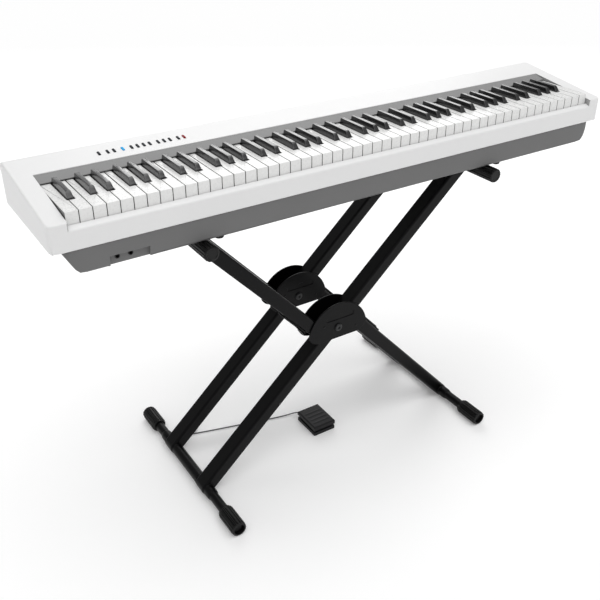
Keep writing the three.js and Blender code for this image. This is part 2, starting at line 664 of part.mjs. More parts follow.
// ---- cord, coil and plug ----
const routePoints = cordRoute.map(([x, y, z]) => new THREE.Vector3(x, y, z));
const route = new THREE.CatmullRomCurve3(routePoints, false, "centripetal");
const cordSection = new THREE.Shape();
for (let i = 0; i < 8; i += 1) {
  const turn = (i * Math.PI) / 4;
  const at = [cordRadius * Math.cos(turn), cordRadius * Math.sin(turn)];
  if (i === 0) {
    cordSection.moveTo(...at);
  } else {
    cordSection.lineTo(...at);
  }
}
const cordGeometry = new THREE.ExtrudeGeometry(cordSection, {
  steps: Math.round(route.getLength() / (cordRadius * 5)),
  bevelEnabled: false,
  extrudePath: route,
});
addPart(floor, "pedal_cord", toSolid(cordGeometry), "cord_grey");

const coilLow = 0.2;
const coilProfile = [
  [-coilHalfWidth, 0], [coilHalfWidth, 0], [coilHalfWidth, coilHeight], [-coilHalfWidth, coilHeight],
  [-coilHalfWidth, 0],
].map(([out, up]) => new THREE.Vector2(coilMeanRadius + out, coilLow + up));
const coilRing = new THREE.LatheGeometry(coilProfile, 24);
coilRing.rotateX(Math.PI / 2);
coilRing.translate(coilCentre.x, coilCentre.y, 0);
addPart(floor, "pedal_coil", toSolid(coilRing), "cord_grey");

// The plug lies across the top of the coil.
function alongPlug(radius, start, length, sides) {
  const geometry = new THREE.CylinderGeometry(radius, radius, length, sides);
  geometry.rotateZ(plugHeading - Math.PI / 2);
  const along = plugTail + start + length / 2;
  geometry.translate(
    coilCentre.x + along * Math.cos(plugHeading) - plugSide * Math.sin(plugHeading),
    coilCentre.y + along * Math.sin(plugHeading) + plugSide * Math.cos(plugHeading),
    coilLow + coilHeight + restGap + plugBody.radius,
  );
  return toSolid(geometry);
}
addPart(floor, "pedal_plug", alongPlug(plugBody.radius, 0, plugBody.length, 14)
  .add(alongPlug(plugPin.radius, plugBody.length - 1, plugPin.length + 1, 12)), "black_rubber");

export default model;
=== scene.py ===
import bmesh
import bpy
import math
import numpy as np
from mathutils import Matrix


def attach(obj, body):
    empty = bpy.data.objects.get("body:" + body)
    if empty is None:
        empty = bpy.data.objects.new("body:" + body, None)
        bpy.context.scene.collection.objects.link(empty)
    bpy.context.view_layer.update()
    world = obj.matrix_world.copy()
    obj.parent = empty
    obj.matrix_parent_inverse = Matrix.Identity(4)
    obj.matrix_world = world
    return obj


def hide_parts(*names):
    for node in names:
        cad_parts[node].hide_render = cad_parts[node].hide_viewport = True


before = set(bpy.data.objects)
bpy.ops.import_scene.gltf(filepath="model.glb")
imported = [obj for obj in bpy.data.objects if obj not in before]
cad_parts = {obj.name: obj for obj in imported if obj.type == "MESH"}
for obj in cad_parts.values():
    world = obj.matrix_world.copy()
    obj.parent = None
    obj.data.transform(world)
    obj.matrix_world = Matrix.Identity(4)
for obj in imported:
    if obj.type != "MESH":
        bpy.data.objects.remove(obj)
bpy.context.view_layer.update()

# Camera and light. A plain pale paper floor under a wide overhead diffuser, with a softbox behind the
# object that lights its top and rear edges, as in a small product studio.


def linear(hex_colour):
    """sRGB hex to linear light: each channel over 12.92 near black; above that, the channel plus 0.055,
    over 1.055, to the power 2.4."""
    c = np.array([int(hex_colour[i:i + 2], 16) for i in (0, 2, 4)]) / 255
    lin = np.where(c <= 0.04045, c / 12.92, ((c + 0.055) / 1.055) ** 2.4)
    return (*lin.tolist(), 1.0)


def add_node(tree, kind, feeds=None, **settings):
    """Adds one shader node with its settings; feeds gives an input a value or another node's output."""
    made = tree.nodes.new("ShaderNode" + kind)
    for name, value in settings.items():
        setattr(made, name, value)
    for name, value in (feeds or {}).items():
        if isinstance(value, bpy.types.NodeSocket):
            tree.links.new(value, made.inputs[name])
        else:
            made.inputs[name].default_value = value
    return made


def new_finish(name, slot=None):
    """An empty material and its node tree. The slot is the one of the part's own finishes that it
    stands for."""
    material = bpy.data.materials.new(name)
    if slot:
        material["slot"] = slot
    material.use_nodes = True
    material.node_tree.nodes.clear()
    return material, material.node_tree


def principled(tree, feeds):
    """Ends a material with a Principled shader that has these inputs."""
    shader = add_node(tree, "BsdfPrincipled", feeds)
    add_node(tree, "OutputMaterial", {"Surface": shader.outputs[0]})


def noise(tree, per_metre, detail):
    """A noise pattern fixed to the object, its features 1 / per_metre apart; returns its factor."""
    place = add_node(tree, "TexCoord")
    return add_node(tree, "TexNoise", {"Vector": place.outputs["Object"], "Scale": per_metre,
                                       "Detail": detail}).outputs["Fac"]


def ranged(tree, value, low, high, start=0.0, stop=1.0):
    """low to high as value goes from start to stop, and held there beyond."""
    return add_node(tree, "MapRange", {"Value": value, "From Min": start, "From Max": stop,
                                       "To Min": low, "To Max": high}).outputs[0]


def mixed(tree, share, first, second):
    """A colour that goes from first to second as share goes from 0 to 1."""
    return add_node(tree, "MixRGB", {"Fac": share, "Color1": first, "Color2": second}).outputs[0]


camera_data = bpy.data.cameras.new("camera")
camera_data.lens = 48.43
camera_data.sensor_width = 36.0
camera_data.clip_start = 0.05
camera = bpy.data.objects.new("camera", camera_data)
camera.location = (-0.9289, -1.3391, 1.3023)
camera.rotation_euler = (math.radians(59.58), 0.0, math.radians(-32.68))
bpy.context.scene.collection.objects.link(camera)
bpy.context.scene.camera = camera
bpy.context.scene.view_settings.view_transform = "Standard"

world = bpy.data.worlds.new("studio")
world.use_nodes = True
world.node_tree.nodes["Background"].inputs["Color"].default_value = linear("FFFFFF")
# The room is dim for the object, and its far wall is pale.
seen = add_node(world.node_tree, "LightPath")
wall = ranged(world.node_tree, seen.outputs["Is Camera Ray"], 0.36, 1.0)
world.node_tree.links.new(wall, world.node_tree.nodes["Background"].inputs["Strength"])
bpy.context.scene.world = world


def area_light(name, place, aim, size, power):
    """A square softbox at place that faces the point aim."""
    data = bpy.data.lights.new(name, "AREA")
    data.size = size
    data.energy = power
    lamp = bpy.data.objects.new(name, data)
    lamp.location = place
    towards = np.array(aim) - np.array(place)
    tilt = math.atan2(math.hypot(towards[0], towards[1]), -towards[2])
    lamp.rotation_euler = (tilt, 0.0, math.atan2(-towards[0], towards[1]))
    bpy.context.scene.collection.objects.link(lamp)


sky_data = bpy.data.lights.new("overhead_diffuser", "SUN")
sky_data.energy = 1.85
sky_data.angle = math.radians(70.0)
sky = bpy.data.objects.new("overhead_diffuser", sky_data)
sky.rotation_euler = (math.radians(9.0), 0.0, 0.0)
bpy.context.scene.collection.objects.link(sky)
area_light("rear_softbox", (1.5, 2.5, 2.2), (0.0, 0.0, 0.7), 2.4, 30.0)

floor_half = 30.0
floor_mesh = bpy.data.meshes.new("studio_floor")
floor_mesh.from_pydata(
    [(-floor_half, -floor_half, 0), (floor_half, -floor_half, 0), (floor_half, floor_half, 0),
     (-floor_half, floor_half, 0)], [], [(0, 1, 2, 3)])
floor = bpy.data.objects.new("studio_floor", floor_mesh)
# Matt white paper: takes soft shadows with no shine, and its faint glow keeps them pale.
paper, tree = new_finish("matt_backdrop_paper")
principled(tree, {"Base Color": linear("F4F4F4"), "Roughness": 1.0, "Specular IOR Level": 0.0,
                  "Emission Color": linear("FFFFFF"), "Emission Strength": 0.14})
floor_mesh.materials.append(paper)
bpy.context.scene.collection.objects.link(floor)

# Pedal cord. PVC-sheathed lead, 3 mm thick and about 1.6 m long, moulded into the
# pedal's rear left corner; the part that isn't in use is wound into a neat coil.


def placed(name, mesh, material, body, *stands_for):
    """An object at the origin for a mesh: its material, the body it rides on, its finish's slot, and
    the nodes it stands for."""
    mesh.materials.append(material)
    piece = bpy.data.objects.new(name, mesh)
    bpy.context.scene.collection.objects.link(piece)
    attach(piece, body)
    if stands_for:
        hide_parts(*stands_for)
    return piece


def surface_piece(name, points, faces, material, body, sharp, *stands_for):
    """A mesh object at the origin from an (n, 3) array of points and rows of point numbers, that rides
    on body; edges bent by more than sharp degrees stay crisp, and it hides the nodes it stands for."""
    mesh = bpy.data.meshes.new(name)
    mesh.from_pydata(np.asarray(points, float).tolist(), [], [list(map(int, f)) for f in faces])
    mesh.shade_smooth()
    mesh.set_sharp_from_angle(angle=math.radians(sharp))
    return placed(name, mesh, material, body, *stands_for)


def grid_faces(rows, columns, closed=True):
    """Quads of a rows by columns grid of points, numbered row by row; a closed row joins its ends."""
    r, c = np.arange(rows - 1), np.arange(columns if closed else columns - 1)
    r, c = [g.ravel() for g in np.meshgrid(r, c, indexing="ij")]
    down, right = r + 1, (c + 1) % columns
    return np.stack([r * columns + c, r * columns + right, down * columns + right, down * columns + c], 1)


def ended(points, sides):
    """Points in rows of sides, skinned and closed with a flat face at each end."""
    count = len(points)
    faces = grid_faces(count // sides, sides).tolist()
    return points, faces + [list(range(sides))[::-1], list(range(count - sides, count))]


def smooth_line(points, step):
    """A curve through the points, about step apart: cubic between neighbours, with each point's
    tangent along the line from the point before it to the point after it (Catmull-Rom)."""
    p = np.asarray(points, float)
    span = np.linalg.norm(np.diff(p, axis=0), axis=1)
    t = np.concatenate([[0], np.cumsum(span)])
    slope = np.gradient(p, t, axis=0)
    u = np.linspace(0, t[-1], max(int(t[-1] / step), 2) + 1)
    k = np.clip(np.searchsorted(t, u, side="right") - 1, 0, len(p) - 2)
    h = (t[k + 1] - t[k])[:, None]
    s = ((u - t[k]) / h[:, 0])[:, None]
    return ((2 * s ** 3 - 3 * s ** 2 + 1) * p[k] + (s ** 3 - 2 * s ** 2 + s) * h * slope[k]
            + (3 * s ** 2 - 2 * s ** 3) * p[k + 1] + (s ** 3 - s ** 2) * h * slope[k + 1])


def tube_along(path, radius, sides):
    """Points of a round tube: at each path point, a circle square to the path. The circle's first
    axis is carried from point to point by taking away its part along the new tangent."""
    path = np.asarray(path, float)
    tangent = np.gradient(path, axis=0)
    tangent /= np.linalg.norm(tangent, axis=1)[:, None]
    side = np.cross(tangent[0], (0.0, 0.0, 1.0) if abs(tangent[0][2]) < 0.9 else (1.0, 0.0, 0.0))
    sides_axis = []
    for direction in tangent:
        side = side - direction * (side @ direction)
        side = side / np.linalg.norm(side)
        sides_axis.append(side)
    first = np.array(sides_axis)
    second = np.cross(tangent, first)
    turn = np.linspace(0, 2 * np.pi, sides, endpoint=False)
    ring = first[:, None] * np.cos(turn)[None, :, None] + second[:, None] * np.sin(turn)[None, :, None]
    return (path[:, None] + radius * ring).reshape(-1, 3)


# PVC sheath: semi-matt, with a faint unevenness from the extruder every few millimetres.
pvc, tree = new_finish("extruded_pvc_sheath", "cord_grey")
uneven = noise(tree, 300.0, 3.0)
relief = add_node(tree, "Bump", {"Height": uneven, "Strength": 0.15, "Distance": 0.0002})
principled(tree, {"Base Color": mixed(tree, uneven, linear("4A4A4C"), linear("606062")),
                  "Roughness": 0.5, "IOR": 1.5, "Normal": relief.outputs[0]})

cord_thickness = 0.003
cord_reach = np.array([
    [-51, 29.5, 11], [-51, 36, 10.4], [-52.5, 41, 8.8], [-57, 46, 6.4], [-65, 50, 4.2],
    [-76, 53.2, 2.7], [-90, 56.5, 2.1], [-105, 60, 2], [-122, 64.3, 2], [-140, 69.3, 2],
    [-158, 74.3, 2], [-176, 79.2, 2], [-194, 84.1, 2], [-212, 89, 2], [-230, 93.8, 2],
    [-248, 98.6, 2], [-265, 103.4, 2], [-281, 108, 2], [-294, 111.8, 2], [-305, 115, 2],
]) / 1000
coil_centre = np.array([-0.314, 0.140])
turn_pitch = 0.0032
coil_columns = 0.018 + turn_pitch * np.array([1, 0, -1])
coil_layers = 0.0018 + turn_pitch * np.arange(4)
# The turns fill one layer from the outside in, the next from the inside out, and so on.
turn_slots = [(coil_columns[c if layer % 2 == 0 else 2 - c], coil_layers[layer])
              for layer in range(4) for c in range(3)]


coil_start = math.atan2(-0.96, -0.277)


def coil_line(heading_end):
    """Centreline of the coil. Each turn is a circle; over a quarter of it the line eases to the next
    slot, and each turn eases 0.13 pi earlier than the one before, so that no two meet."""
    whole = len(turn_slots) - 1
    angle = np.linspace(0, 2 * np.pi * whole + heading_end, int(64 * (whole + 0.1)))
    turn = np.minimum((angle / (2 * np.pi)).astype(int), whole)
    slots = np.array(turn_slots + [turn_slots[-1]])
    ease = np.clip((angle - 2 * np.pi * turn - (1.48 - 0.13 * turn) * np.pi) / (0.5 * np.pi), 0, 1)
    ease = ((1 - np.cos(np.pi * ease)) / 2)[:, None]
    slot = slots[turn] * (1 - ease) + slots[turn + 1] * ease
    at = coil_start - angle
    return np.stack([coil_centre[0] + slot[:, 0] * np.cos(at), coil_centre[1] + slot[:, 0] * np.sin(at),
                     slot[:, 1]], 1)


plug_turn = math.radians(41.7)
plug_heading = np.array([math.cos(plug_turn), math.sin(plug_turn)])
plug_left = np.array([-plug_heading[1], plug_heading[0]])
grip_radius = 0.0046
coil_top = coil_layers[3] + cord_thickness / 2
plug_height = coil_top + 0.0003 + grip_radius
plug_tail = coil_centre - 0.008 * plug_heading + 0.0125 * plug_left
wound = coil_line(coil_start - (plug_turn - math.pi))
# From the top turn the cord bends in over the coil to the plug's tail.
bend_radius = coil_columns[0] - 0.0087
bend_centre = coil_centre - 0.0087 * plug_heading
bend_turn = np.linspace(0, np.pi / 2, 12)[1:]
into_plug = np.array([0.001, 0.003])[:, None] * plug_heading
bend_flat = (bend_centre - bend_radius * np.cos(bend_turn)[:, None] * plug_heading
             + bend_radius * np.sin(bend_turn)[:, None] * plug_left)
bend_flat = np.concatenate([bend_flat, bend_flat[-1] + into_plug])
bend = np.column_stack([bend_flat, np.full(len(bend_flat), coil_layers[3])])
top_turn = np.concatenate([wound, bend])
# Over its last 42 mm the cord climbs from the coil to the plug's height.
steps = np.linalg.norm(np.diff(top_turn[::-1], axis=0), axis=1)
to_plug = np.concatenate([[0], np.cumsum(steps)])[::-1]
climb = np.clip(1 - (to_plug - 0.003) / 0.042, 0, 1)
top_turn[:, 2] += (plug_height - coil_layers[3]) * climb * climb * (3 - 2 * climb)
cord_path = smooth_line(np.concatenate([cord_reach, top_turn[2:]]), 0.0018)
pedal_lead = surface_piece("pedal_lead", *ended(tube_along(cord_path, cord_thickness / 2, 12), 12), pvc,
                           "pedal", 60, "pedal_cord", "pedal_coil")

# Jack plug on the cord's end. A moulded PVC grip with finger ribs, and a 6.35 mm nickel-plated
# brass pin with a waist behind its rounded tip. It lies across the coil.


def turned(profile, origin, axis, sides=32):
    """A turned surface: rows of (distance along the axis, radius) carried round it in a circle."""
    profile = np.asarray(profile, float)
    axis = np.asarray(axis, float) / np.linalg.norm(axis)
    first = np.cross(axis, (0.0, 0.0, 1.0) if abs(axis[2]) < 0.9 else (1.0, 0.0, 0.0))
    first /= np.linalg.norm(first)
    second = np.cross(axis, first)
    turn = np.linspace(0, 2 * np.pi, sides, endpoint=False)
    ring = np.cos(turn)[:, None] * first + np.sin(turn)[:, None] * second
    points = (np.asarray(origin, float) + profile[:, 0, None, None] * axis
              + profile[:, 1, None, None] * ring[None]).reshape(-1, 3)
    return ended(points, sides)


def joined(*pieces):
    """Several (points, faces) sets as one."""
    points, faces, count = [], [], 0
    for piece_points, piece_faces in pieces:
        points.append(np.asarray(piece_points, float))
        faces += [[int(i) + count for i in face] for face in piece_faces]
        count += len(piece_points)
    return np.concatenate(points), faces


# Nickel plate on brass: bright, slightly warm, with fine turning marks.
nickel, tree = new_finish("nickel_plated_brass", "zinc_steel")
principled(tree, {"Base Color": linear("C9C4BA"), "Metallic": 1.0,
                  "Roughness": ranged(tree, noise(tree, 900.0, 2.0), 0.2, 0.34)})

plug_start = np.array([*plug_tail, plug_height])
plug_axis = np.array([*plug_heading, 0.0])
grip = [[0, 0.0016], [0.0002, 0.0026], [0.005, 0.0031], [0.0055, 0.0041], [0.0065, grip_radius]]
for rib in range(5):
    at = 0.0075 + rib * 0.0026
    grip += [[at, grip_radius], [at + 0.0004, 0.0041], [at + 0.0012, 0.0041], [at + 0.0016, grip_radius]]
grip += [[0.0228, grip_radius], [0.0238, 0.0043], [0.024, 0.0036]]
plug_grip = surface_piece("plug_grip", *turned(grip, plug_start, plug_axis), pvc, "pedal", 40)
pin = [[0.0235, 0.0026], [0.0238, 0.0031], [0.0452, 0.0031], [0.0462, 0.0025], [0.0478, 0.0024],
       [0.0492, 0.0029], [0.0512, 0.0031], [0.0528, 0.0022], [0.0538, 0.0007]]
plug_pin = surface_piece("plug_pin", *turned(pin, plug_start, plug_axis), nickel, "pedal", 40, "pedal_plug")

# Sustain pedal. A black ABS base plate and a tread shell that tips on a pin at its rear edge;
# the tread's top is a rubber-feel panel with shallow ribs across it.


def outline_offset(outline, inset):
    """A closed outline moved inwards by inset: each corner goes along the sum of its two edges'
    inward normals, divided by one plus their dot product."""
    edge = np.roll(outline, -1, axis=0) - outline
    edge = edge / np.linalg.norm(edge, axis=1)[:, None]
    inward = np.stack([-edge[:, 1], edge[:, 0]], 1)
    before = np.roll(inward, 1, axis=0)
    share = np.maximum(1 + (inward * before).sum(1), 0.25)[:, None]
    return outline + inset * (inward + before) / share


def round_corners(corners, radius, steps=4):
    """A closed outline with each corner replaced by a quadratic curve. The curve starts and ends
    radius / tan(half the corner's angle) from the corner, or a little under half of an edge."""
    corners = np.asarray(corners, float)
    radius = np.broadcast_to(radius, len(corners))
    out = []
    for i, corner in enumerate(corners):
        back, ahead = corners[i - 1] - corner, corners[(i + 1) % len(corners)] - corner
        back_len, ahead_len = np.linalg.norm(back), np.linalg.norm(ahead)
        back, ahead = back / back_len, ahead / ahead_len
        half = math.acos(np.clip(back @ ahead, -1, 1)) / 2
        if radius[i] <= 0 or abs(half - math.pi / 2) < 0.01:
            out.append(corner[None])
            continue
        reach = min(radius[i] / math.tan(half), 0.49 * back_len, 0.49 * ahead_len)
        t = np.linspace(0, 1, steps + 1)[:, None]
        start, end = corner + back * reach, corner + ahead * reach
        out.append((1 - t) ** 2 * start + 2 * t * (1 - t) * corner + t ** 2 * end)
    return np.concatenate(out)


def put_on_axis(flat, level, axis):
    """Outline coordinates and a level become points: (x, y, level) for Z, (x, level, z) for Y and
    (level, y, z) for X."""
    level = np.broadcast_to(np.asarray(level, float), len(flat))
    order = {"Z": (flat[:, 0], flat[:, 1], level), "Y": (flat[:, 0], level, flat[:, 1]),
             "X": (level, flat[:, 0], flat[:, 1])}[axis]
    return np.stack(order, 1)


def slab(outline, low, high, axis, low_round=0.0, high_round=0.0, steps=3):
    """An outline (anticlockwise) pushed from low to high, its rims rounded to a quarter circle. A ring
    of points just inside and outside each rim keeps the flat faces flat when shaded."""
    outline = np.asarray(outline, float)
    rows = []
    for radius, level, sign in ((low_round, low, 1), (high_round, high, -1)):
        turn = np.linspace(0, np.pi / 2, steps + 1) if radius > 0 else np.array([])
        rim = [(radius * (1 - math.sin(t)), level + sign * radius * (1 - math.cos(t))) for t in turn]
        if not rim:
            rim = [(0.0, level)]
        flat_margin = max(radius * 0.35, 0.0001)
        rim = [(rim[0][0] + flat_margin, level), *rim, (0.0, rim[-1][1] + sign * flat_margin)]
        rows += rim if sign > 0 else rim[::-1]
    points = np.concatenate([put_on_axis(outline_offset(outline, inset), level, axis)
                             for inset, level in rows])
    points, faces = ended(points, len(outline))
    if axis == "Y":
        faces = [face[::-1] for face in faces]
    return points, faces


def rectangle(x0, x1, y0, y1):
    """Corners of a rectangle, anticlockwise."""
    return np.array([[x0, y0], [x1, y0], [x1, y1], [x0, y1]])


def moulded(name, slot, light, dark, roughness, grain_mm, grain_depth, blotch_mm, ior=1.5, coat=0.0,
            specular=0.5, metallic=0.0):
    """A moulded or coated finish: colour drifts between dark and light over blotch_mm, and a grain
    of grain_mm lifts the surface by up to grain_depth metres and varies its gloss."""
    material, tree = new_finish(name, slot)
    drift, grain = noise(tree, 1000.0 / blotch_mm, 4.0), noise(tree, 1000.0 / grain_mm, 2.0)
    bump = add_node(tree, "Bump", {"Height": grain, "Strength": 0.5, "Distance": grain_depth})
    principled(tree, {
        "Base Color": mixed(tree, drift, linear(dark), linear(light)), "Metallic": metallic,
        "Roughness": ranged(tree, grain, roughness - 0.05, roughness + 0.06, 0.3, 0.7),
        "Normal": bump.outputs[0], "IOR": ior, "Coat Weight": coat, "Coat Roughness": 0.15,
        "Specular IOR Level": specular})
    return material


# Black ABS moulded against a fine etched tool: a dull sheen that greys the tread's top a little.
pedal_abs = moulded("etched_black_abs", "black_rubber", "171719", "101012", 0.5, 0.8, 0.0002, 25.0,
                    specular=0.25)

pedal_left, pedal_right, pedal_front, pedal_rear = -0.061, 0.0, -0.0525, 0.0255
base_outline = round_corners(rectangle(pedal_left, pedal_right, pedal_front, pedal_rear), 0.003)
pedal_floor_plate = slab(base_outline, 0.0, 0.009, "Z", 0.0006, 0.0012)
hinge_block = slab(round_corners(rectangle(pedal_left + 0.008, pedal_right - 0.008, 0.0165, 0.0225), 0.001),
                   0.008, 0.019, "Z", 0.0, 0.001)
relief_rings = [[0.0, 0.0036]]
for ring in range(4):
    at = 0.0035 + ring * 0.0012
    relief_rings += [[at, 0.0036 - ring * 0.0003], [at + 0.0002, 0.003 - ring * 0.0003],
                     [at + 0.0008, 0.003 - ring * 0.0003], [at + 0.001, 0.0035 - ring * 0.0003]]
relief_rings += [[0.0092, 0.0022], [0.0093, 0.0018]]
strain_relief = turned(relief_rings, (-0.051, 0.0215, 0.011), (0, 1, 0), 20)
surface_piece("pedal_foot", *joined(pedal_floor_plate, hinge_block, strain_relief), pedal_abs, "pedal", 35,
              "pedal_base")

tread_top, tread_rib = 0.027, 0.0007


def tread_height(x, y):
    """Height of the tread: a flat top whose rim rolls over in a 3 mm quarter circle, with seven
    shallow ribs across the middle, each one hump of a sine."""
    to_edge = np.minimum.reduce([x - pedal_left, pedal_right - x, y - pedal_front, pedal_rear - y])
    roll = np.clip(1 - to_edge / 0.003, 0, 1)
    top = tread_top - tread_rib - 0.003 * (1 - np.sqrt(np.clip(1 - roll ** 2, 0, 1)))
    inside = np.clip((to_edge - 0.007) / 0.002, 0, 1)
    wave = np.clip(np.sin((y - pedal_front) / 0.0065 * np.pi), 0, 1) ** 0.6
    field = np.clip((y - (pedal_front + 0.012)) / 0.001, 0, 1) * np.clip((0.012 - y) / 0.001, 0, 1)
    return top + tread_rib * inside * wave * field


def eased_spacing(low, high, count):
    """Stations from low to high, closer together near both ends (a sine of a sine's arc)."""
    t = np.linspace(0, 1, count)
    return low + (high - low) * (t - 0.9 * np.sin(2 * np.pi * t) / (2 * np.pi))


stations_x = eased_spacing(pedal_left, pedal_right, 29)
stations_y = np.concatenate([pedal_front + np.array([0, 0.0002, 0.0006, 0.0013, 0.0022, 0.0032]),
                             np.linspace(pedal_front + 0.0045, pedal_rear - 0.0045, 130),
                             pedal_rear - np.array([0.0032, 0.0022, 0.0013, 0.0006, 0.0002, 0])])
mesh_x, mesh_y = np.meshgrid(stations_x, stations_y)
top_points = np.stack([mesh_x, mesh_y, tread_height(mesh_x, mesh_y)], -1)
rows, columns = mesh_x.shape
top_faces = grid_faces(rows, columns, closed=False)
rim = np.concatenate([np.arange(columns), np.arange(1, rows) * columns + columns - 1,
                      (rows - 1) * columns + np.arange(columns - 2, -1, -1),
                      np.arange(rows - 2, 0, -1) * columns])
rim_points = top_points.reshape(-1, 3)[rim]


def skirt_floor(y):
    """Lower edge of the tread's skirt: 14 mm up at the front, 16.5 mm up at the rear."""
    return 0.014 + 0.0025 * (y - pedal_front) / (pedal_rear - pedal_front)


# The skirt hangs from the rim, turns in under its lower edge and goes back up 2.5 mm inside.
skirt = [rim_points, np.column_stack([rim_points[:, :2], skirt_floor(rim_points[:, 1]) + 0.0004])]
middle = np.array([(pedal_left + pedal_right) / 2, (pedal_front + pedal_rear) / 2])
half_size = np.array([pedal_right - pedal_left, pedal_rear - pedal_front]) / 2
for thickness, lift in ((0.0004, 0.0), (0.0021, 0.0), (0.0025, 0.0004), (0.0025, 0.0065)):
    shrink = 1 - thickness / half_size
    flat = middle + (rim_points[:, :2] - middle) * shrink
    skirt.append(np.column_stack([flat, skirt_floor(flat[:, 1]) + lift]))
skirt = np.concatenate(skirt)
skirt_faces = grid_faces(6, len(rim))[:, ::-1]
inner_lid = [list(range(5 * len(rim), 6 * len(rim)))[::-1]]
tread = joined((top_points.reshape(-1, 3), top_faces.tolist()), (skirt, skirt_faces.tolist() + inner_lid))
surface_piece("pedal_tread_shell", *tread, pedal_abs, "pedal_tread", 40, "pedal_tread")

# Stand tubes. Cold-rolled steel box tube, 30 by 38 mm with rounded edges, its ends crimped round
# the cross bars and welded; satin black powder coat over all. Two straight tubes cross two
# pairs of shorter arms that stop short of the pivot and are bolted between the hinge plates.
stand_middle = np.array([-0.0303, 0.3336])
bar_span, bar_rise = 0.687, 0.6322
half_reach = math.hypot(bar_span, bar_rise) / 2
straight_angle = math.atan2(bar_rise, bar_span)
arm_offset = 0.037
arm_angle = math.pi - straight_angle - math.asin(arm_offset / half_reach)
arm_start, arm_reach = 0.024, math.sqrt(half_reach ** 2 - arm_offset ** 2)
tube_half, tube_edge = 0.015, 0.0048
tube_planes = {"front": -0.075, "rear": 0.090}
tube_width = 0.038

# Powder coat: satin black, with the faint orange peel of the cured powder; the peel is drawn a little
# coarser than real so that the highlights along the tubes break up.
powder_coat = moulded("satin_black_powder_coat", "black_steel", "0A0A0B", "050506", 0.33, 1.6, 0.00022,
                      60.0, specular=0.14)


def along_bar(local, angle):
    """(along, across) places on a bar that leaves the pivot at angle, in the stand's X and Z."""
    along = np.array([math.cos(angle), math.sin(angle)])
    across = np.array([-along[1], along[0]])
    return stand_middle + local[:, :1] * along + local[:, 1:] * across


def capsule(angle, start, end, offset, round_start, round_end):
    """Outline of a bar along a line at angle, shifted offset to its left: straight sides, and ends
    that are half circles of the bar's half width, or square with a 1 mm round."""
    turn = np.linspace(-np.pi / 2, np.pi / 2, 17)[:, None]

    def end_cap(at, sign, is_round):
        if is_round:
            return np.column_stack([at + sign * tube_half * np.cos(turn), sign * tube_half * np.sin(turn)])
        half, inside = sign * tube_half, at - sign * 0.05
        square = [[inside, -half], [at, -half], [at, half], [inside, half]]
        return round_corners(square, [0, 0.001, 0.001, 0])[1:-1]

    local = np.concatenate([end_cap(end, 1, round_end), end_cap(start, -1, round_start)])
    return along_bar(local + np.array([0.0, offset]), angle)


for place, plane in tube_planes.items():
    low, high = plane - tube_width / 2, plane + tube_width / 2
    straight = capsule(straight_angle, -half_reach, half_reach, 0, True, True)
    surface_piece(f"straight_tube_{place}", *slab(straight, low, high, "Y", tube_edge, tube_edge, 5),
                  powder_coat, "fixed_frame", 40, f"fixed_tube_{place}")
    for kind, turn in (("arm", 0.0), ("leg", math.pi)):
        outline = capsule(arm_angle + turn, arm_start, arm_reach, arm_offset, False, True)
        surface_piece(f"{kind}_tube_{place}", *slab(outline, low, high, "Y", tube_edge, tube_edge, 5),
                      powder_coat, "folding_frame", 40, f"folding_{kind}_{place}")

# Cross bars. Round steel tube through the crimped ends of the box tubes. The foot bars carry a
# pressed half-shell saddle, rounded at its tips, that stiffens the joint with the tubes.
bar_radius = 0.011
bar_places = {"left": stand_middle[0] - bar_span / 2, "right": stand_middle[0] + bar_span / 2}
foot_height = stand_middle[1] - bar_rise / 2
top_height = stand_middle[1] + bar_rise / 2


def rings_along_y(x, z, rows, turn):
    """Points round a Y axis at x, z: rows of (y, radius), where a radius may differ from way to way."""
    return np.concatenate([np.stack([x + radius * np.cos(turn), np.full(len(turn), y),
                                     z + radius * np.sin(turn)], 1) for y, radius in rows])


def weld_bead(x, y, z, side):
    """A fillet weld round a bar: a ring whose outer line wobbles by a fifth of a millimetre, 36 waves
    round; its rows are (distance out from the tube, radius)."""
    turn = np.linspace(0, 2 * np.pi, 144, endpoint=False)
    wobble = 0.0002 * np.sin(36 * turn)
    profile = [(0.0, bar_radius), (0.0, 0.0142), (0.0009, 0.0139), (0.0021, 0.0128), (0.0027, 0.0114),
               (0.0027, bar_radius)]
    rows = [(y + side * out, radius + (wobble if 0 < i < 4 else 0))
            for i, (out, radius) in enumerate(profile)]
    faces = grid_faces(len(rows), len(turn))
    return rings_along_y(x, z, rows, turn), (faces if side > 0 else faces[:, ::-1]).tolist()


def welded_bar(x, z, profile):
    """A cross bar turned about Y, and the weld beads where it meets the box tubes."""
    bar = turned(profile, (x, 0, z), (0, 1, 0), 40)
    beads = [weld_bead(x, plane + side * (tube_width / 2 + 0.0002), z, side)
             for plane in tube_planes.values() for side in (-1, 1)]
    return [bar, *beads]


def saddle_end(at, inwards, tapered):
    """Profile of one end of a saddle: it swells from the bar in a quarter ellipse, 14 mm long at an outer
    tip and almost square where it butts against a tube."""
    return [[at + inwards * (0.014 * (1 - math.cos(t)) if tapered else 0.0003 * t),
             0.0111 + 0.0023 * math.sin(t)] for t in np.linspace(0, np.pi / 2, 7)]


frames = {"foot": {"left": "fixed_frame", "right": "folding_frame"},
          "top": {"left": "folding_frame", "right": "fixed_frame"}}
for place, x in bar_places.items():
    parts = welded_bar(x, foot_height, [[-0.231, 0.0095], [-0.231, 0.0104], [-0.2304, bar_radius],
                                        [0.2304, bar_radius], [0.231, 0.0104], [0.231, 0.0095]])
    for low, high in ((-0.1193, -0.0943), (-0.0557, 0.0707), (0.1093, 0.1343)):
        profile = saddle_end(low, 1, low < -0.1) + saddle_end(high, -1, high > 0.12)[::-1]
        parts.append(turned(profile, (x, 0, foot_height), (0, 1, 0), 40))
    surface_piece(f"foot_bar_tube_{place}", *joined(*parts), powder_coat, frames["foot"][place], 40,
                  f"foot_bar_{place}")

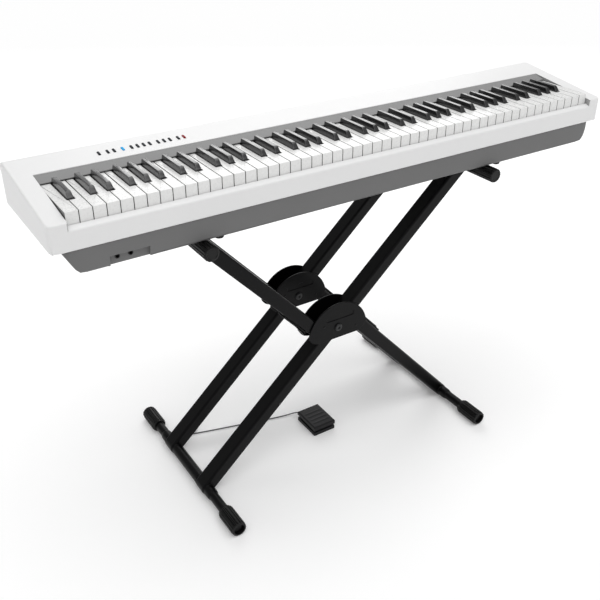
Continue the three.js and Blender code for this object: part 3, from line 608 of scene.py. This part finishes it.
# Rubber foot caps and bar sleeves. EPDM, moulded with grip ribs along their length; pushed on
# dry. They have a soft dull surface with a chalky bloom in places.
soft_rubber = moulded("moulded_epdm_rubber", "black_rubber", "0C0C0C", "070707", 0.36, 0.5, 0.00015, 12.0,
                      specular=0.27)


def ribbed_sleeve(x, z, start, end, radius, rib_height, rim, floor_inset):
    """A sleeve along Y with 16 ribs, whose radius rises and falls round it: a raised cosine cut to a flat
    top. Rows are (distance from the start, radius, share of the ribs' height); the ribs fade out at both
    rims, and floor_inset sinks the end face like a dish."""
    turn = np.linspace(0, 2 * np.pi, 16 * 6, endpoint=False)
    wave = np.clip(0.5 + 1.1 * np.cos(turn * 16), 0, 1)
    length, core = abs(end - start), radius - rib_height
    direction = 1 if end > start else -1
    rows = [(0.0, bar_radius, 0.0), (0.0, core - 0.0012, 0.0), (0.0006, core, 0.0), (rim, core, 0.0),
            (rim + 0.0012, core, 1.0), (length - rim - 0.0008, core, 1.0), (length - rim, core, 0.6),
            (length - 0.0010, radius - rib_height * 0.6, 0.2), (length, core - 0.0010, 0.0),
            (length, radius * 0.72, 0.0), (length - floor_inset, radius * 0.66, 0.0),
            (length - floor_inset, 0.0004, 0.0)]
    points = rings_along_y(x, z, [(start + direction * at, r + rib_height * share * wave)
                                  for at, r, share in rows], turn)
    faces = grid_faces(len(rows), len(turn))
    faces = (faces if direction < 0 else faces[:, ::-1]).tolist()
    last = list(range(len(points) - len(turn), len(points)))
    return points, faces + [last if direction < 0 else last[::-1]]


for place, x in bar_places.items():
    for end, sign in (("front", -1), ("rear", 1)):
        shell = ribbed_sleeve(x, foot_height, sign * 0.171, sign * 0.237, 0.0175, 0.0022, 0.004, 0.007)
        surface_piece(f"foot_cap_{place}_{end}_rubber", *shell, soft_rubber, frames["foot"][place], 38,
                      f"foot_cap_{place}_{end}")

for place, x in bar_places.items():
    parts = welded_bar(x, top_height, [[-0.18, 0.010], [-0.18, bar_radius], [0.18, bar_radius],
                                       [0.18, 0.010]])
    surface_piece(f"top_bar_tube_{place}", *joined(*parts), powder_coat, frames["top"][place], 40,
                  f"top_bar_{place}")
    for end, start, stop in (("front", -0.0985, -0.187), ("rear", 0.1135, 0.187)):
        shell = ribbed_sleeve(x, top_height, start, stop, 0.0155, 0.0018, 0.0015, 0.001)
        surface_piece(f"bar_sleeve_{place}_{end}", *shell, soft_rubber, frames["top"][place], 38)

# Hinge plates. Four half-moon plates pressed from 3 mm steel, their edges broken, the outer two with a
# shallow slot; the same powder coat as the tubes. Rivets fasten them to the folding arms.
plate_radius, plate_drop, plate_flat, plate_thickness, plate_edge = 0.079, 0.018, 0.028, 0.003, 0.0007
slot_size, slot_depth, slot_centre = np.array([0.073, 0.013]), 0.0014, np.array([0.0055, 0.0265])


def plate_outline():
    """The half-moon: an arc of plate_radius about a point plate_drop below the pivot, a flat lower edge,
    and a quadratic curve round each lower corner."""
    side_z, flat_end = -0.006, 0.052
    side_x = math.sqrt(plate_radius ** 2 - (side_z + plate_drop) ** 2)
    start = math.atan2(side_z + plate_drop, side_x)
    turn = np.linspace(start, np.pi - start, 120)
    arc = np.column_stack([plate_radius * np.cos(turn), plate_radius * np.sin(turn) - plate_drop])
    t = np.linspace(0, 1, 14)[1:-1, None]

    def corner(a, b, c):
        return (1 - t) ** 2 * np.array(a) + 2 * t * (1 - t) * np.array(b) + t ** 2 * np.array(c)

    left = corner((-side_x, side_z), (-side_x + 0.006, -plate_flat + 0.004), (-flat_end, -plate_flat))
    right = corner((flat_end, -plate_flat), (side_x - 0.006, -plate_flat + 0.004), (side_x, side_z))
    flat = np.column_stack([np.linspace(-flat_end, flat_end, 24), np.full(24, -plate_flat)])
    return np.concatenate([arc, left, flat, right])


def slot_outline(directions):
    """The slot's edge in each direction from its centre: a superellipse, where the eighth powers of x over
    the half length and z over the half width add up to one."""
    reach = ((np.abs(directions) / (slot_size / 2)) ** 8).sum(1) ** (-1 / 8)
    return slot_centre + directions * reach[:, None]


def recessed_plate(y0, y1):
    """A plate as one closed surface: rings run from the middle of the pocket's floor up its wall to its
    rim, over the front face and round the edge to the back."""
    outer = plate_outline()
    ray = outer - slot_centre
    ray /= np.linalg.norm(ray, axis=1)[:, None]
    inner = slot_outline(ray)
    edge, lip, floor_y = plate_edge, 0.0004, y0 + slot_depth
    loops = [(0.0, -0.6 * slot_size[1] / 2, floor_y), (0.0, -lip, floor_y), (0.0, 0.0, floor_y - lip),
             (0.0, 0.0, y0 + lip), (0.0, lip, y0), (0.35, 0.0, y0), (1.0, -2 * edge, y0), (1.0, -edge, y0),
             (1.0, -edge * 0.3, y0 + edge * 0.3), (1.0, 0.0, y0 + edge), (1.0, 0.0, y1 - edge),
             (1.0, -edge * 0.3, y1 - edge * 0.3), (1.0, -edge, y1), (1.0, -2 * edge, y1)]
    points = np.concatenate([put_on_axis(stand_middle + inner * (1 - share) + outer * share + ray * shift,
                                         level, "Y") for share, shift, level in loops])
    return ended(points, len(outer))


def rivet_head(place, y, side):
    """A domed head, 5.6 mm wide and 0.9 mm high: its rows follow a quarter ellipse."""
    radius, height = 0.0028, 0.0009
    dome = [[height * math.sin(t), radius * math.cos(t)] for t in np.linspace(0, np.pi / 2, 6)[:-1]]
    return turned([[0.0, radius * 0.9], *dome, [height, 0.0003]], (place[0], y, place[1]), (0, side, 0), 24)


rivet_places = stand_middle + np.array([[-0.038, 0.012], [0.049, -0.011]])
inner_face = tube_width / 2 + 0.0003
for place, plane in tube_planes.items():
    for kind, side in (("outer", -1), ("inner", 1)):
        y0, y1 = sorted((plane + side * inner_face, plane + side * (inner_face + plate_thickness)))
        plate = (recessed_plate(y0, y1) if kind == "outer" else
                 slab(stand_middle + plate_outline(), y0, y1, "Y", plate_edge, plate_edge, 3))
        heads = [rivet_head(at, y0 if side < 0 else y1, side) for at in rivet_places]
        surface_piece(f"hinge_plate_{place}_{kind}_steel", *joined(plate, *heads), powder_coat,
                      "folding_frame", 35, f"hinge_plate_{place}_{kind}")

# Pivot bolts. A shouldered M16 bolt with a low round head and a socket, blackened, with a
# locking nut on its far side.
# Black oxide: thin and oily, so the head shows a little greyer and shinier than the powder coat.
black_oxide = moulded("black_oxide_steel", "black_steel", "1C1D1F", "141517", 0.34, 0.9, 0.0001, 8.0,
                      specular=0.4)
bolt_face = inner_face + plate_thickness + 0.0003
for place, plane in tube_planes.items():
    centre = (stand_middle[0], plane - bolt_face, stand_middle[1])
    head = turned([[0.0, 0.0070], [0.0, 0.0090], [0.0006, 0.0093], [0.0018, 0.0091], [0.0027, 0.0082],
                   [0.0031, 0.0068], [0.0031, 0.0036], [0.0029, 0.0033], [0.0012, 0.0033], [0.0012, 0.0004]],
                  centre, (0, -1, 0), 36)
    hexagon = np.arange(6) * np.pi / 3
    nut_outline = stand_middle + 0.011 * np.column_stack([np.cos(hexagon), np.sin(hexagon)])
    nut = slab(round_corners(nut_outline, 0.0012), plane + bolt_face, plane + bolt_face + 0.0035, "Y",
               0.0, 0.0006)
    shank = turned([[-bolt_face, 0.0075], [-bolt_face, 0.008], [bolt_face, 0.008], [bolt_face, 0.0075]],
                   (stand_middle[0], plane, stand_middle[1]), (0, 1, 0), 32)
    surface_piece(f"pivot_bolt_{place}_steel", *joined(head, nut, shank), black_oxide, "fixed_frame", 40,
                  f"pivot_bolt_{place}")

# Lock lever. A folded 5 mm strip under the front arm that frees the fold when it is squeezed, hinged
# at its outer end and sprung. Its dip of black vinyl is duller and softer than the powder coat.
dipped_vinyl = moulded("dipped_black_vinyl", "black_steel", "121213", "0C0C0D", 0.5, 0.6, 0.0001, 15.0,
                       specular=0.25)


def anticlockwise(outline):
    """The outline, turned round if its corners run clockwise (its shoelace sum is negative)."""
    ahead = np.roll(outline, -1, axis=0)
    return outline if np.sum(outline[:, 0] * ahead[:, 1] - ahead[:, 0] * outline[:, 1]) > 0 else outline[::-1]


lever_outline = np.array([[62, 52.3], [140, 52.3], [140, 57.3], [68, 57.3], [58, 62.3], [55, 59.3]]) / 1000
lever_outline = round_corners(along_bar(lever_outline, arm_angle),
                              [0.002, 0.0015, 0.0015, 0.006, 0.0015, 0.001])
lever_front, lever_back = -0.088, -0.062
lever = slab(anticlockwise(lever_outline), lever_front, lever_back, "Y", 0.0012, 0.0012, 4)
surface_piece("lock_lever_strip", *lever, dipped_vinyl, "lock_lever", 40, "lock_lever")

# Bump strips. A moulded rubber buffer bonded under each lower leg, which meets the straight tube when
# the stand is folded.
buffer = np.array([[50, 52.2], [62, 57.5], [112, 57.5], [118, 55.2], [128, 55.2], [130, 52.2]]) / 1000
buffer = round_corners(anticlockwise(along_bar(buffer, arm_angle + math.pi)), 0.0015)
for place, plane in tube_planes.items():
    surface_piece(f"bump_strip_{place}", *slab(buffer, plane - 0.011, plane + 0.011, "Y", 0.0012, 0.0012, 3),
                  soft_rubber, "folding_frame", 40)

# Lower case. Dark grey ABS tub, injection moulded with a spark-eroded grain, screwed up into
# the white case from below; the headphone jacks sit in a recess at its left front edge.


def moulded_copy(node, name, material, edge, keep=lambda middle: 1.0):
    """The CAD solid as one welded surface, flat areas joined, with its sharp edges rounded. An
    edge's radius is edge times the share that keep gives for the edge's middle."""
    crease = math.radians(28)
    welded = bmesh.new()
    welded.from_mesh(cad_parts[node].data)
    bmesh.ops.remove_doubles(welded, verts=welded.verts, dist=2e-6)
    bmesh.ops.dissolve_limit(welded, angle_limit=math.radians(0.4), verts=welded.verts, edges=welded.edges)
    weights = welded.edges.layers.float.new("bevel_weight_edge")
    for line in welded.edges:
        middle = (line.verts[0].co + line.verts[1].co) / 2
        if line.calc_face_angle(0) > crease:
            line[weights] = keep(middle)
    mesh = bpy.data.meshes.new(name)
    welded.to_mesh(mesh)
    welded.free()
    mesh.shade_smooth()
    mesh.set_sharp_from_angle(angle=crease)
    piece = placed(name, mesh, material, "piano", node)
    rounded = piece.modifiers.new("moulded_edges", "BEVEL")
    rounded.limit_method = "WEIGHT"
    rounded.width = edge
    rounded.segments = 3
    rounded.use_clamp_overlap = False
    rounded.harden_normals = True
    return piece


# Grained ABS: the spark-eroded tool leaves a dull, even grey with no sharp highlights.
grey_abs = moulded("grained_grey_abs", "grey_case", "727272", "6B6B6B", 0.55, 0.7, 0.00018, 90.0)
jack_places, jack_height, lower_floor = (-0.535, -0.511), 0.6785, 0.6655


def outside_recess(middle):
    """1 away from the jack bores, whose edges stay crisp."""
    near_bore = any(abs(middle.x - x) < 0.006 for x in jack_places) and middle.y < -0.14
    return 0.0 if near_bore and 0.672 < middle.z < 0.6842 else 1.0


moulded_copy("lower_case", "lower_case_shell", grey_abs, 0.0012, outside_recess)

# Black nylon ring nuts hold the two headphone jacks in the recess wall: smooth and slightly waxy.
jack_nylon = moulded("black_nylon_jack", "black_steel", "19191A", "111112", 0.4, 0.5, 0.0001, 6.0)
sides = 28
for number, x in enumerate(jack_places):
    seat = (x, -0.1445, jack_height), (0, -1, 0)
    points, faces = turned([[0.001, 0.0031], [0.0118, 0.0031], [0.0120, 0.0034], [0.0122, 0.0040],
                            [0.0118, 0.0045], [0.0100, 0.0045], [0.001, 0.0045]], *seat, sides)
    # The nut is open in the middle: its two end faces give way to a strip from the last row to the first.
    first, last = np.arange(sides), 6 * sides + np.arange(sides)
    strip = np.stack([last, np.roll(last, -1), np.roll(first, -1), first], 1)
    back = turned([[0.0, 0.0001], [0.0, 0.0043], [0.0012, 0.0043], [0.0012, 0.0001]], *seat, sides)
    surface_piece(f"headphone_jack_{number + 1}", *joined((points, faces[:-2] + strip.tolist()), back),
                  jack_nylon, "piano", 40)

# Case feet. Pressed-in rubber feet under the four corners of the key bed's area.
for number, (x, y) in enumerate([(0.350, -0.146), (0.350, 0.060), (-0.338, -0.146), (-0.338, 0.060)]):
    foot = turned([[0, 0.0005], [0, 0.0098], [0.0008, 0.0105], [0.0025, 0.0105], [0.0028, 0.0092],
                   [0.0060, 0.0088], [0.0068, 0.0080], [0.0070, 0.0005]], (x, y, lower_floor), (0, 0, -1), 32)
    surface_piece(f"case_foot_{number + 1}", *foot, soft_rubber, "piano", 35)

# Round-headed screws hold the two halves of the case together. Zinc plate: bright and a little blotchy.
zinc = moulded("zinc_plated_steel", "zinc_steel", "A9ABAE", "8F9194", 0.35, 0.4, 0.00005, 5.0, metallic=1.0)
screws = [turned([[0, 0.0003], [0, 0.0036], [0.0006, 0.0034], [0.0010, 0.0020], [0.0004, 0.0014],
                  [0.0002, 0.0003]], (x, y, lower_floor), (0, 0, -1), 16)
          for x in (-0.56, -0.44, -0.22, -0.08, 0.08, 0.22, 0.44, 0.56) for y in (-0.12, 0.055)]
surface_piece("underside_screws", *joined(*screws), zinc, "piano", 30)

# Inside the case: the zinc-plated key bed, the two speakers and the main board with its sockets. The
# board's solder mask is a glossy green; the speakers' paper cones are a fibrous, shineless black.
board_green = moulded("solder_masked_board", "circuit_green", "1F6A40", "17502F", 0.35, 1.2, 0.00005, 6.0)
cone_paper = moulded("black_paper_cone", "black_steel", "202022", "161618", 0.8, 1.0, 0.0002, 8.0)
for node, finish in (("keybed", zinc), ("main_board", board_green), ("speaker_left", cone_paper),
                     ("speaker_right", cone_paper)):
    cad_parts[node].material_slots[0].material = finish
panel = slab(rectangle(0.1343, 0.2707, 0.7223, 0.7427), 0.0917, 0.0921, "Y", 0.0, 0.0)
surface_piece("socket_panel", *panel, jack_nylon, "piano", 40)
for number, x in enumerate((0.150, 0.185, 0.220, 0.255)):
    block = slab(round_corners(rectangle(x - 0.0088, x + 0.0088, 0.7207, 0.7418), 0.001), 0.0918, 0.0924,
                 "Y", 0.0, 0.0003)
    collar = turned([[0, 0.0036], [0.0004, 0.0036], [0.0010, 0.0040], [0.0012, 0.0052], [0.0008, 0.0058],
                     [0, 0.0060]], (x, 0.0923, 0.733), (0, 1, 0), 28)
    bore = turned([[0.0, 0.0001], [0.0, 0.0035], [0.0003, 0.0036], [0.0003, 0.0001]], (x, 0.0924, 0.733),
                  (0, 1, 0), 24)
    surface_piece(f"rear_socket_{number + 1}", *joined(block, collar, bore), jack_nylon, "piano", 40)

# Upper case. White ABS moulding, its tool etched to a fine satin; one piece carries the sloping panel,
# the cheeks beside the keys and the rail in front of them. It is screwed to the lower case from below.
white_abs = moulded("satin_white_abs", "white_case", "F1F1F1", "EDEDED", 0.42, 0.6, 0.00006, 160.0)
key_front_y, key_floor = -0.152, 0.755
button_back = 0.1856
button_line = key_front_y + button_back


def case_edges(middle):
    """1 on the outer edges, a quarter around the key well, and 0 at the slots and inside."""
    by_buttons = -0.49 < middle.x < -0.30 and abs(middle.y - button_line) < 0.02 and middle.z > 0.77
    by_sockets = 0.13 < middle.x < 0.275 and middle.y > 0.08 and middle.z < 0.745
    inside = middle.z < 0.7118 and middle.y > -0.1635 and middle.y < 0.1 and abs(middle.x) < 0.6445
    if by_buttons or by_sockets or inside:
        return 0.0
    outer = abs(middle.x) > 0.63 or middle.y < -0.16 or middle.y > 0.09
    return 1.0 if outer else 0.25


upper = moulded_copy("upper_case", "upper_case_shell", white_abs, 0.0036, case_edges)
# The cheeks' inner faces above the keys are coloured light grey, paler than the liner and darker than the
# white case.
cheek_grey = moulded("light_grey_abs", "grey_case", "A8A8A8", "A0A0A0", 0.5, 0.8, 0.0001, 60.0)
upper.data.materials.append(cheek_grey)
cheek_x = 0.6116
for face in upper.data.polygons:
    if abs(abs(face.center.x) - cheek_x) < 0.0006 and abs(face.normal.x) > 0.9 and face.center.z > 0.7:
        face.material_index = 1

# Key well liner. A strip of grey ABS, clipped in, that closes the case above the back ends of the
# keys; its satin face catches a soft band of light along its length.
satin_grey = moulded("satin_grey_abs", "grey_case", "8F8F8F", "868686", 0.5, 0.8, 0.0001, 60.0)
moulded_copy("key_well_liner", "key_well_liner_strip", satin_grey, 0.0005)

# Name felt. A strip of black wool felt glued under the liner's edge closes the gap above the keys; it gives
# no shine at all. It is partly real felt and partly painted shade: its black stands in for the shade in that
# gap.
black_felt = moulded("black_wool_felt", "black_rubber", "141415", "0C0C0D", 0.95, 0.8, 0.0005, 10.0,
                     specular=0.1)
felt = slab(rectangle(-0.6105, 0.6105, key_front_y + 0.1314, key_front_y + 0.1336), 0.7750, 0.7780, "Z",
            0.0004, 0.0004)
surface_piece("name_felt_and_shade_strip", *felt, black_felt, "piano", 40)

# White keys. Moulded in ivory-white acrylic-faced resin, 22.5 mm wide on a 23.5 mm pitch, polished
# on top, with rounded front corners; notched beside the black keys. Each hinges at its rear end.
key_pitch, white_count, key_height, white_length = 0.0235, 52, 0.0195, 0.1397
key_top = key_floor + key_height
board_left = -white_count * key_pitch / 2
sharp_shift = {"C": -0.003, "D": 0.003, "F": -0.004, "G": 0.0, "A": 0.004}
letters = ["CDEFGAB"[(i + 5) % 7] for i in range(white_count)]
key_hinge_gap = 0.0005
key_lip = 0.0045
black_base, black_top, black_front, black_rear = 0.0118, 0.0084, 0.0477, 0.130
octave = range(23, 30)


def white_outline(index):
    """Plan of a white key: a rectangle with a notch on each side that a black key stands on."""
    left = board_left + index * key_pitch + key_hinge_gap
    right = left + key_pitch - 2 * key_hinge_gap
    notch_y, rear = key_front_y + black_front - 0.0012, key_front_y + white_length
    reach = black_base / 2 + 0.0009
    points = [[left, key_front_y], [right, key_front_y]]
    radii = [0.0011, 0.0011]
    if letters[index] in sharp_shift and index < white_count - 1:
        wall = board_left + (index + 1) * key_pitch + sharp_shift[letters[index]] - reach
        points += [[right, notch_y], [wall, notch_y], [wall, rear]]
        radii += [0.0008, 0.0008, 0.0002]
    else:
        points += [[right, rear]]
        radii += [0.0002]
    if index > 0 and letters[index - 1] in sharp_shift:
        wall = board_left + index * key_pitch + sharp_shift[letters[index - 1]] + reach
        points += [[wall, rear], [wall, notch_y], [left, notch_y]]
        radii += [0.0002, 0.0008, 0.0008]
    else:
        points += [[left, rear]]
        radii += [0.0002]
    return round_corners(points, radii, 3)


def white_key(index):
    """A white key: its plan pushed up to the playing surface, the rim rolled over by 0.8 mm."""
    return slab(white_outline(index), key_floor - key_lip, key_top, "Z", 0.0, 0.0008, 4)


# Ivory-white resin: polished where the fingers go. Its side faces are painted dark grey, a painted shade that
# draws the fine dark line between one key and the next.
ivory_resin, tree = new_finish("polished_ivory_white_resin", "ivory_key")
tone = mixed(tree, noise(tree, 14.0, 3.0), linear("EEEEED"), linear("F4F4F3"))
way = add_node(tree, "SeparateXYZ", {"Vector": add_node(tree, "TexCoord").outputs["Normal"]})
sideways = add_node(tree, "Math", {0: way.outputs["X"]}, operation="ABSOLUTE")
# Painted shade: faces that point mostly along X are mixed towards dark grey to stand in for the shade in the
# gaps between keys.
painted_gap_shade = ranged(tree, sideways.outputs[0], 0.0, 1.0, 0.6, 0.95)
principled(tree, {"Base Color": mixed(tree, painted_gap_shade, tone, linear("454544")), "IOR": 1.49,
                  "Roughness": ranged(tree, noise(tree, 220.0, 4.0), 0.2, 0.36), "Coat Weight": 0.25,
                  "Coat Roughness": 0.08})

fixed_whites = [white_key(i) for i in range(white_count) if i not in octave]
surface_piece("white_keys_outer", *joined(*fixed_whites), ivory_resin, "piano", 40, "white_keys_fixed")
for index in octave:
    body = f"white_key_{letters[index].lower()}4"
    surface_piece(f"{body}_resin", *white_key(index), ivory_resin, body, 40, body)

# Black keys. Black ABS, broader at the foot than on top, the front leaning back; the top's edges are
# rounded and polished by the fingers, so that they catch a light band. Hinged at the rear.
black_abs = moulded("matt_black_key_abs", "ebony_key", "151517", "0F0F11", 0.3, 0.5, 0.0001, 10.0, coat=0.9)


def black_key(centre):
    """A black key as sections along Y. Each section is a trapezium that narrows upwards, with its top
    corners rounded to 0.8 mm; the sections' height follows the leaning front, a rounded brow, the top
    and a square back."""
    rise, lean, brow = 0.0115, 0.0075, 0.0016
    top, floor = key_top + rise, key_floor + 0.0072
    front, rear = key_front_y + black_front, key_front_y + black_rear
    stations = [(front, key_top + 0.0004), (front + 0.0003, key_top + 0.0011)]
    stations += [(front + lean * s, key_top + 0.0004 + (rise - brow) * s) for s in (0.25, 0.5, 0.75, 0.92)]
    stations += [(front + lean * 0.96 + 0.0022 * math.sin(b), top - brow * (1 - math.sin(b)) * 0.8)
                 for b in np.linspace(0, np.pi / 2, 6)[1:]]
    stations += [(front + lean + 0.006, top), (rear - 0.0016, top), (rear - 0.0006, top - 0.0004),
                 (rear, top - 0.0012)]
    arc = np.linspace(0, np.pi / 2, 5)
    points = []
    for y, height in stations:
        share = np.clip((height - key_top) / rise, 0, 1)
        half = black_base / 2 * (1 - share) + black_top / 2 * share
        round_to = min(0.0008, max(height - key_top, 0.0002))
        side = [(black_base / 2, floor), (black_base / 2, key_top - 0.0005)]
        side += [(half - round_to * (1 - math.cos(a)), height - round_to * (1 - math.sin(a))) for a in arc]
        side += [(half * 0.4, height + 0.00008)]
        section = [(centre + u, v) for u, v in side] + [(centre - u, v) for u, v in side[::-1]]
        points += [(u, y, v) for u, v in section]
    points, faces = ended(np.array(points), len(section))
    return points, [face[::-1] for face in faces]


fixed_blacks = []
for index in range(white_count - 1):
    if letters[index] not in sharp_shift:
        continue
    shape = black_key(board_left + (index + 1) * key_pitch + sharp_shift[letters[index]])
    if index in octave:
        body = f"black_key_{letters[index].lower()}_sharp4"
        surface_piece(f"{body}_abs", *shape, black_abs, body, 42, body)
    else:
        fixed_blacks.append(shape)
surface_piece("black_keys_outer", *joined(*fixed_blacks), black_abs, "piano", 42, "black_keys_fixed")

# Panel buttons. Soft-touch silicone pads, 4.4 by 13 mm, in six groups, each on a stem through its own
# slot; one is lit cyan and the power button is red.
panel_slope = 31.6 / 232
panel_turn = math.atan(panel_slope)
panel_z = key_floor + 0.0078 + (button_back + 0.014) * panel_slope
button_pitch, group_gap, button_x = 0.0121, 0.017, -0.4818


def lit_pad(name, slot, colour, glow):
    """A translucent silicone pad lit from behind: an even glow, with a gloss a little broken up by the
    moulding's grain."""
    material, tree = new_finish(name, slot)
    principled(tree, {"Base Color": linear(colour), "Emission Color": linear(colour),
                      "Emission Strength": glow, "IOR": 1.43, "Specular IOR Level": 0.25,
                      "Roughness": ranged(tree, noise(tree, 900.0, 2.0), 0.35, 0.5)})
    return material


pad_finishes = {4: lit_pad("cyan_lit_silicone", "button_cyan", "00A0DC", 0.12),
                13: lit_pad("red_silicone", "button_red", "8A0A12", 0.0)}
# The other pads are a dark blue-black silicone, soft to the touch and nearly shineless.
dark_pad = moulded("soft_touch_dark_silicone", "button_black", "0F1822", "0A1119", 0.5, 0.4, 0.00008, 4.0,
                   1.43, specular=0.25)
pad_outline = round_corners(rectangle(-0.0022, 0.0022, -0.0065, 0.0065), 0.0020, 5)
pad_points, pad_faces = slab(pad_outline, -0.009, 0.0015, "Z", 0.0, 0.0006, 3)
sine, cosine = math.sin(panel_turn), math.cos(panel_turn)
number = 0
for group in (1, 2, 1, 4, 3, 2):
    for step in range(group):
        number += 1
        x, y, z = pad_points.T
        points = np.column_stack([button_x + x, button_line + y * cosine - z * sine,
                                  panel_z + y * sine + z * cosine])
        body = f"panel_button_{number:02d}"
        surface_piece(f"{body}_pad", points, pad_faces, pad_finishes.get(number, dark_pad), body, 40, body)
        button_x += button_pitch if step < group - 1 else group_gap
